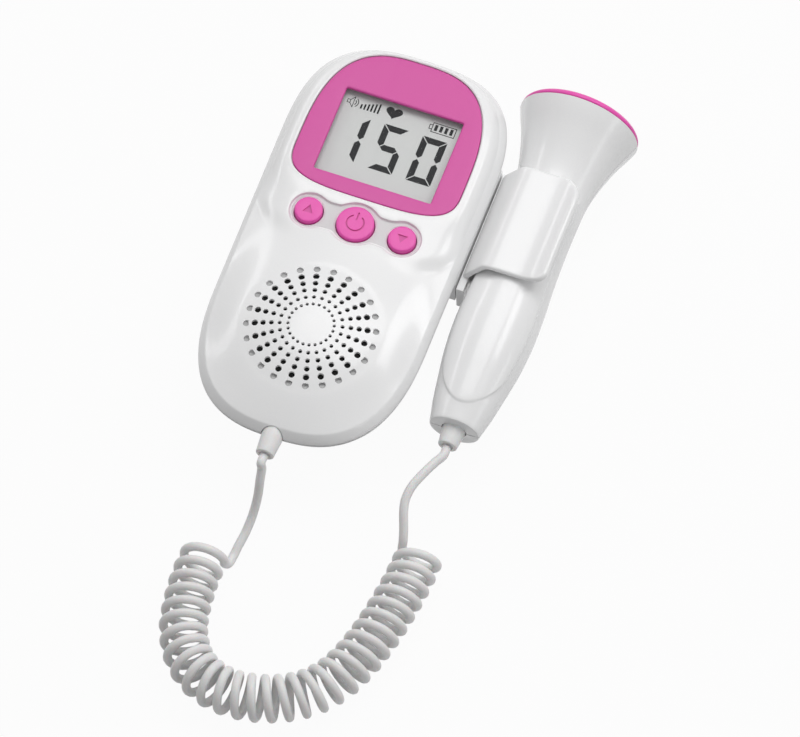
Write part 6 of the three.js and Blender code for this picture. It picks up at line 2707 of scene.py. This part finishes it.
@dataclass
class Speaker:
    """The loudspeaker under the grille, with a dust cloth over it."""

    palette: Palette
    cloth_radius: float = 18.4
    cloth_top: float = 1.25
    cloth_thickness: float = 0.3
    cloth_points: int = 100
    cloth_margin: float = 0.9
    fill_reach: float = 18.0
    spacing: float = 1.6
    edge: float = 0.3
    basket: tuple[Pair, ...] = (
        (0, 22.6), (11, 22.6), (18.4, 27.1), (20.4, 27.1), (20.4, 28.3), (17.2, 28.3), (17.2, 27.1),
        (5, 23.8), (0, 23.8))
    cone: tuple[Pair, ...] = (
        (0, 24.1), (4.7, 24.1), (15.2, 27.2), (16, 27.9), (16.8, 27.3), (16.8, 27.6), (16, 28.2), (15, 27.7),
        (10, 26.0), (5.4, 24.7), (4.9, 25.2), (3, 25.9), (0, 26.2))
    magnet: tuple[Pair, ...] = (
        (0, 19.1), (8.4, 19.1), (8.6, 19.6), (10, 19.6), (10, 21.6), (8.8, 21.6), (8.8, 22.3), (0, 22.3))

    def build(self) -> None:
        """Makes the turned parts and the cloth."""
        turned = (("frame", "black_plastic", self.basket), ("cone", "inner_white", self.cone),
                  ("magnet", "steel", self.magnet))
        for name, slot, profile in turned:
            body = lathe(rounded(profile, self.edge, 3), 0, GRILLE_Y, 0, "Z", 72)
            piece = add_piece(f"speaker_{name}_turned", *body, self.palette[slot])
            dress(piece, "unit", slot, f"speaker_{name}")
        plate = Plate()
        loop, reach = circle(0, GRILLE_Y, self.cloth_radius, self.cloth_points), self.fill_reach
        loose = hex_points(-reach, reach, GRILLE_Y - reach, GRILLE_Y + reach, self.spacing)
        loose = loose[np.hypot(loose[:, 0], loose[:, 1] - GRILLE_Y) < self.cloth_radius - self.cloth_margin]
        for plan, put in ((loop, plate.ring), (loose, plate.scatter)):
            top = FACE.height(plan[:, 0], plan[:, 1]) - self.cloth_top
            put(plan, raised(plan, top), raised(plan, top - self.cloth_thickness))
        cloth = add_piece("dust_cloth", *plate.body(everywhere), self.palette["black_cloth"])
        dress(cloth, "unit", "black_cloth", "speaker_cloth")


@dataclass
class BoardParts:
    """Small parts on the main board and on the probe's board."""

    palette: Palette
    main_top: float = 20.2
    probe_top: float = 19.9
    chip_size: Pair = (6.0, 4.0)
    chip_rings: tuple[Pair, ...] = ((0.15, 0.4), (0.6, 0), (1.2, 0.4))
    resistor_size: Pair = (1.7, 0.9)
    resistor_rings: tuple[Pair, ...] = ((0, 0), (0.4, 0), (0.5, 0.1))
    pin_box: tuple[float, ...] = (-0.2, 0.2, -0.9, 0.9, 0.0, 0.35)
    pin_row: float = 2.4
    pin_pitch: float = 0.8
    # Rows of resistors: where they lie along the unit, and their parts' places across
    unit_rows: Pair = (-7.0, -4.6)
    unit_places: Triple = (-20.0, 21.0, 3.2)
    probe_rows: tuple[float, ...] = (2.0, 4.4, 25.5, 28.0)
    probe_places: tuple[float, ...] = (-5.4, -1.8, 1.8, 5.4)
    unit_chips: tuple[Pair, ...] = ((0.0, -1.0), (-11.0, 12.6), (11.0, 12.6))
    probe_chips: tuple[Pair, ...] = ((PROBE_X, 12.0), (PROBE_X, 44.0))

    @staticmethod
    def _block(size: Pair, rings: Sequence[Pair], corner: float) -> Body:
        """Builds a small block from the heights and shrinkages of its rings and its corners' radius."""
        return loft([raised(rounded_box(size[0] - cut, size[1] - cut, 0, corner), z) for z, cut in rings])

    def build(self) -> None:
        """Makes chips, their pins, and rows of small resistors."""
        unit_rows = [(x, y, self.main_top) for y in self.unit_rows for x in np.arange(*self.unit_places)]
        probe_rows = [(PROBE_X + x, y, self.probe_top) for y in self.probe_rows for x in self.probe_places]
        for body, top, rows, chips in (("unit", self.main_top, unit_rows, self.unit_chips),
                                       ("probe", self.probe_top, probe_rows, self.probe_chips)):
            small = add_piece("small_pattern", *self._block(self.resistor_size, self.resistor_rings, 0.1),
                              self.palette["ceramic"])
            dress(repeated(f"{body}_resistors", small, rows), body, "ceramic")
            chip = add_piece("chip_pattern", *self._block(self.chip_size, self.chip_rings, 0.2),
                             self.palette["black_plastic"])
            dress(repeated(f"{body}_chips", chip, [(x, y, top) for x, y in chips]), body, "black_plastic")
            pin = add_piece("pin_pattern", *box_body(*self.pin_box), self.palette["steel"])
            steps = np.arange(-self.pin_row, self.pin_row + 0.1, self.pin_pitch)
            pins = [(x + step, y + side * self.pin_row, top) for x, y in chips for step in steps
                    for side in (-1, 1)]
            dress(repeated(f"{body}_chip_pins", pin, pins), body, "steel")


def main() -> None:
    """Builds the studio and every sub-assembly."""
    palette = Palette()
    palette.dress_cad_nodes()
    Studio().build()
    for assembly in (CurlyCord, FrontCase, RearCase, Screen, Display, Buttons, Holder, Probe, Fasteners,
                     Power, Speaker, BoardParts):
        assembly(palette).build()
        LOG.info("%s is built", assembly.__name__)


if __name__ == "__main__":
    logging.basicConfig(level=logging.INFO, format="%(levelname)s %(message)s")
    main()
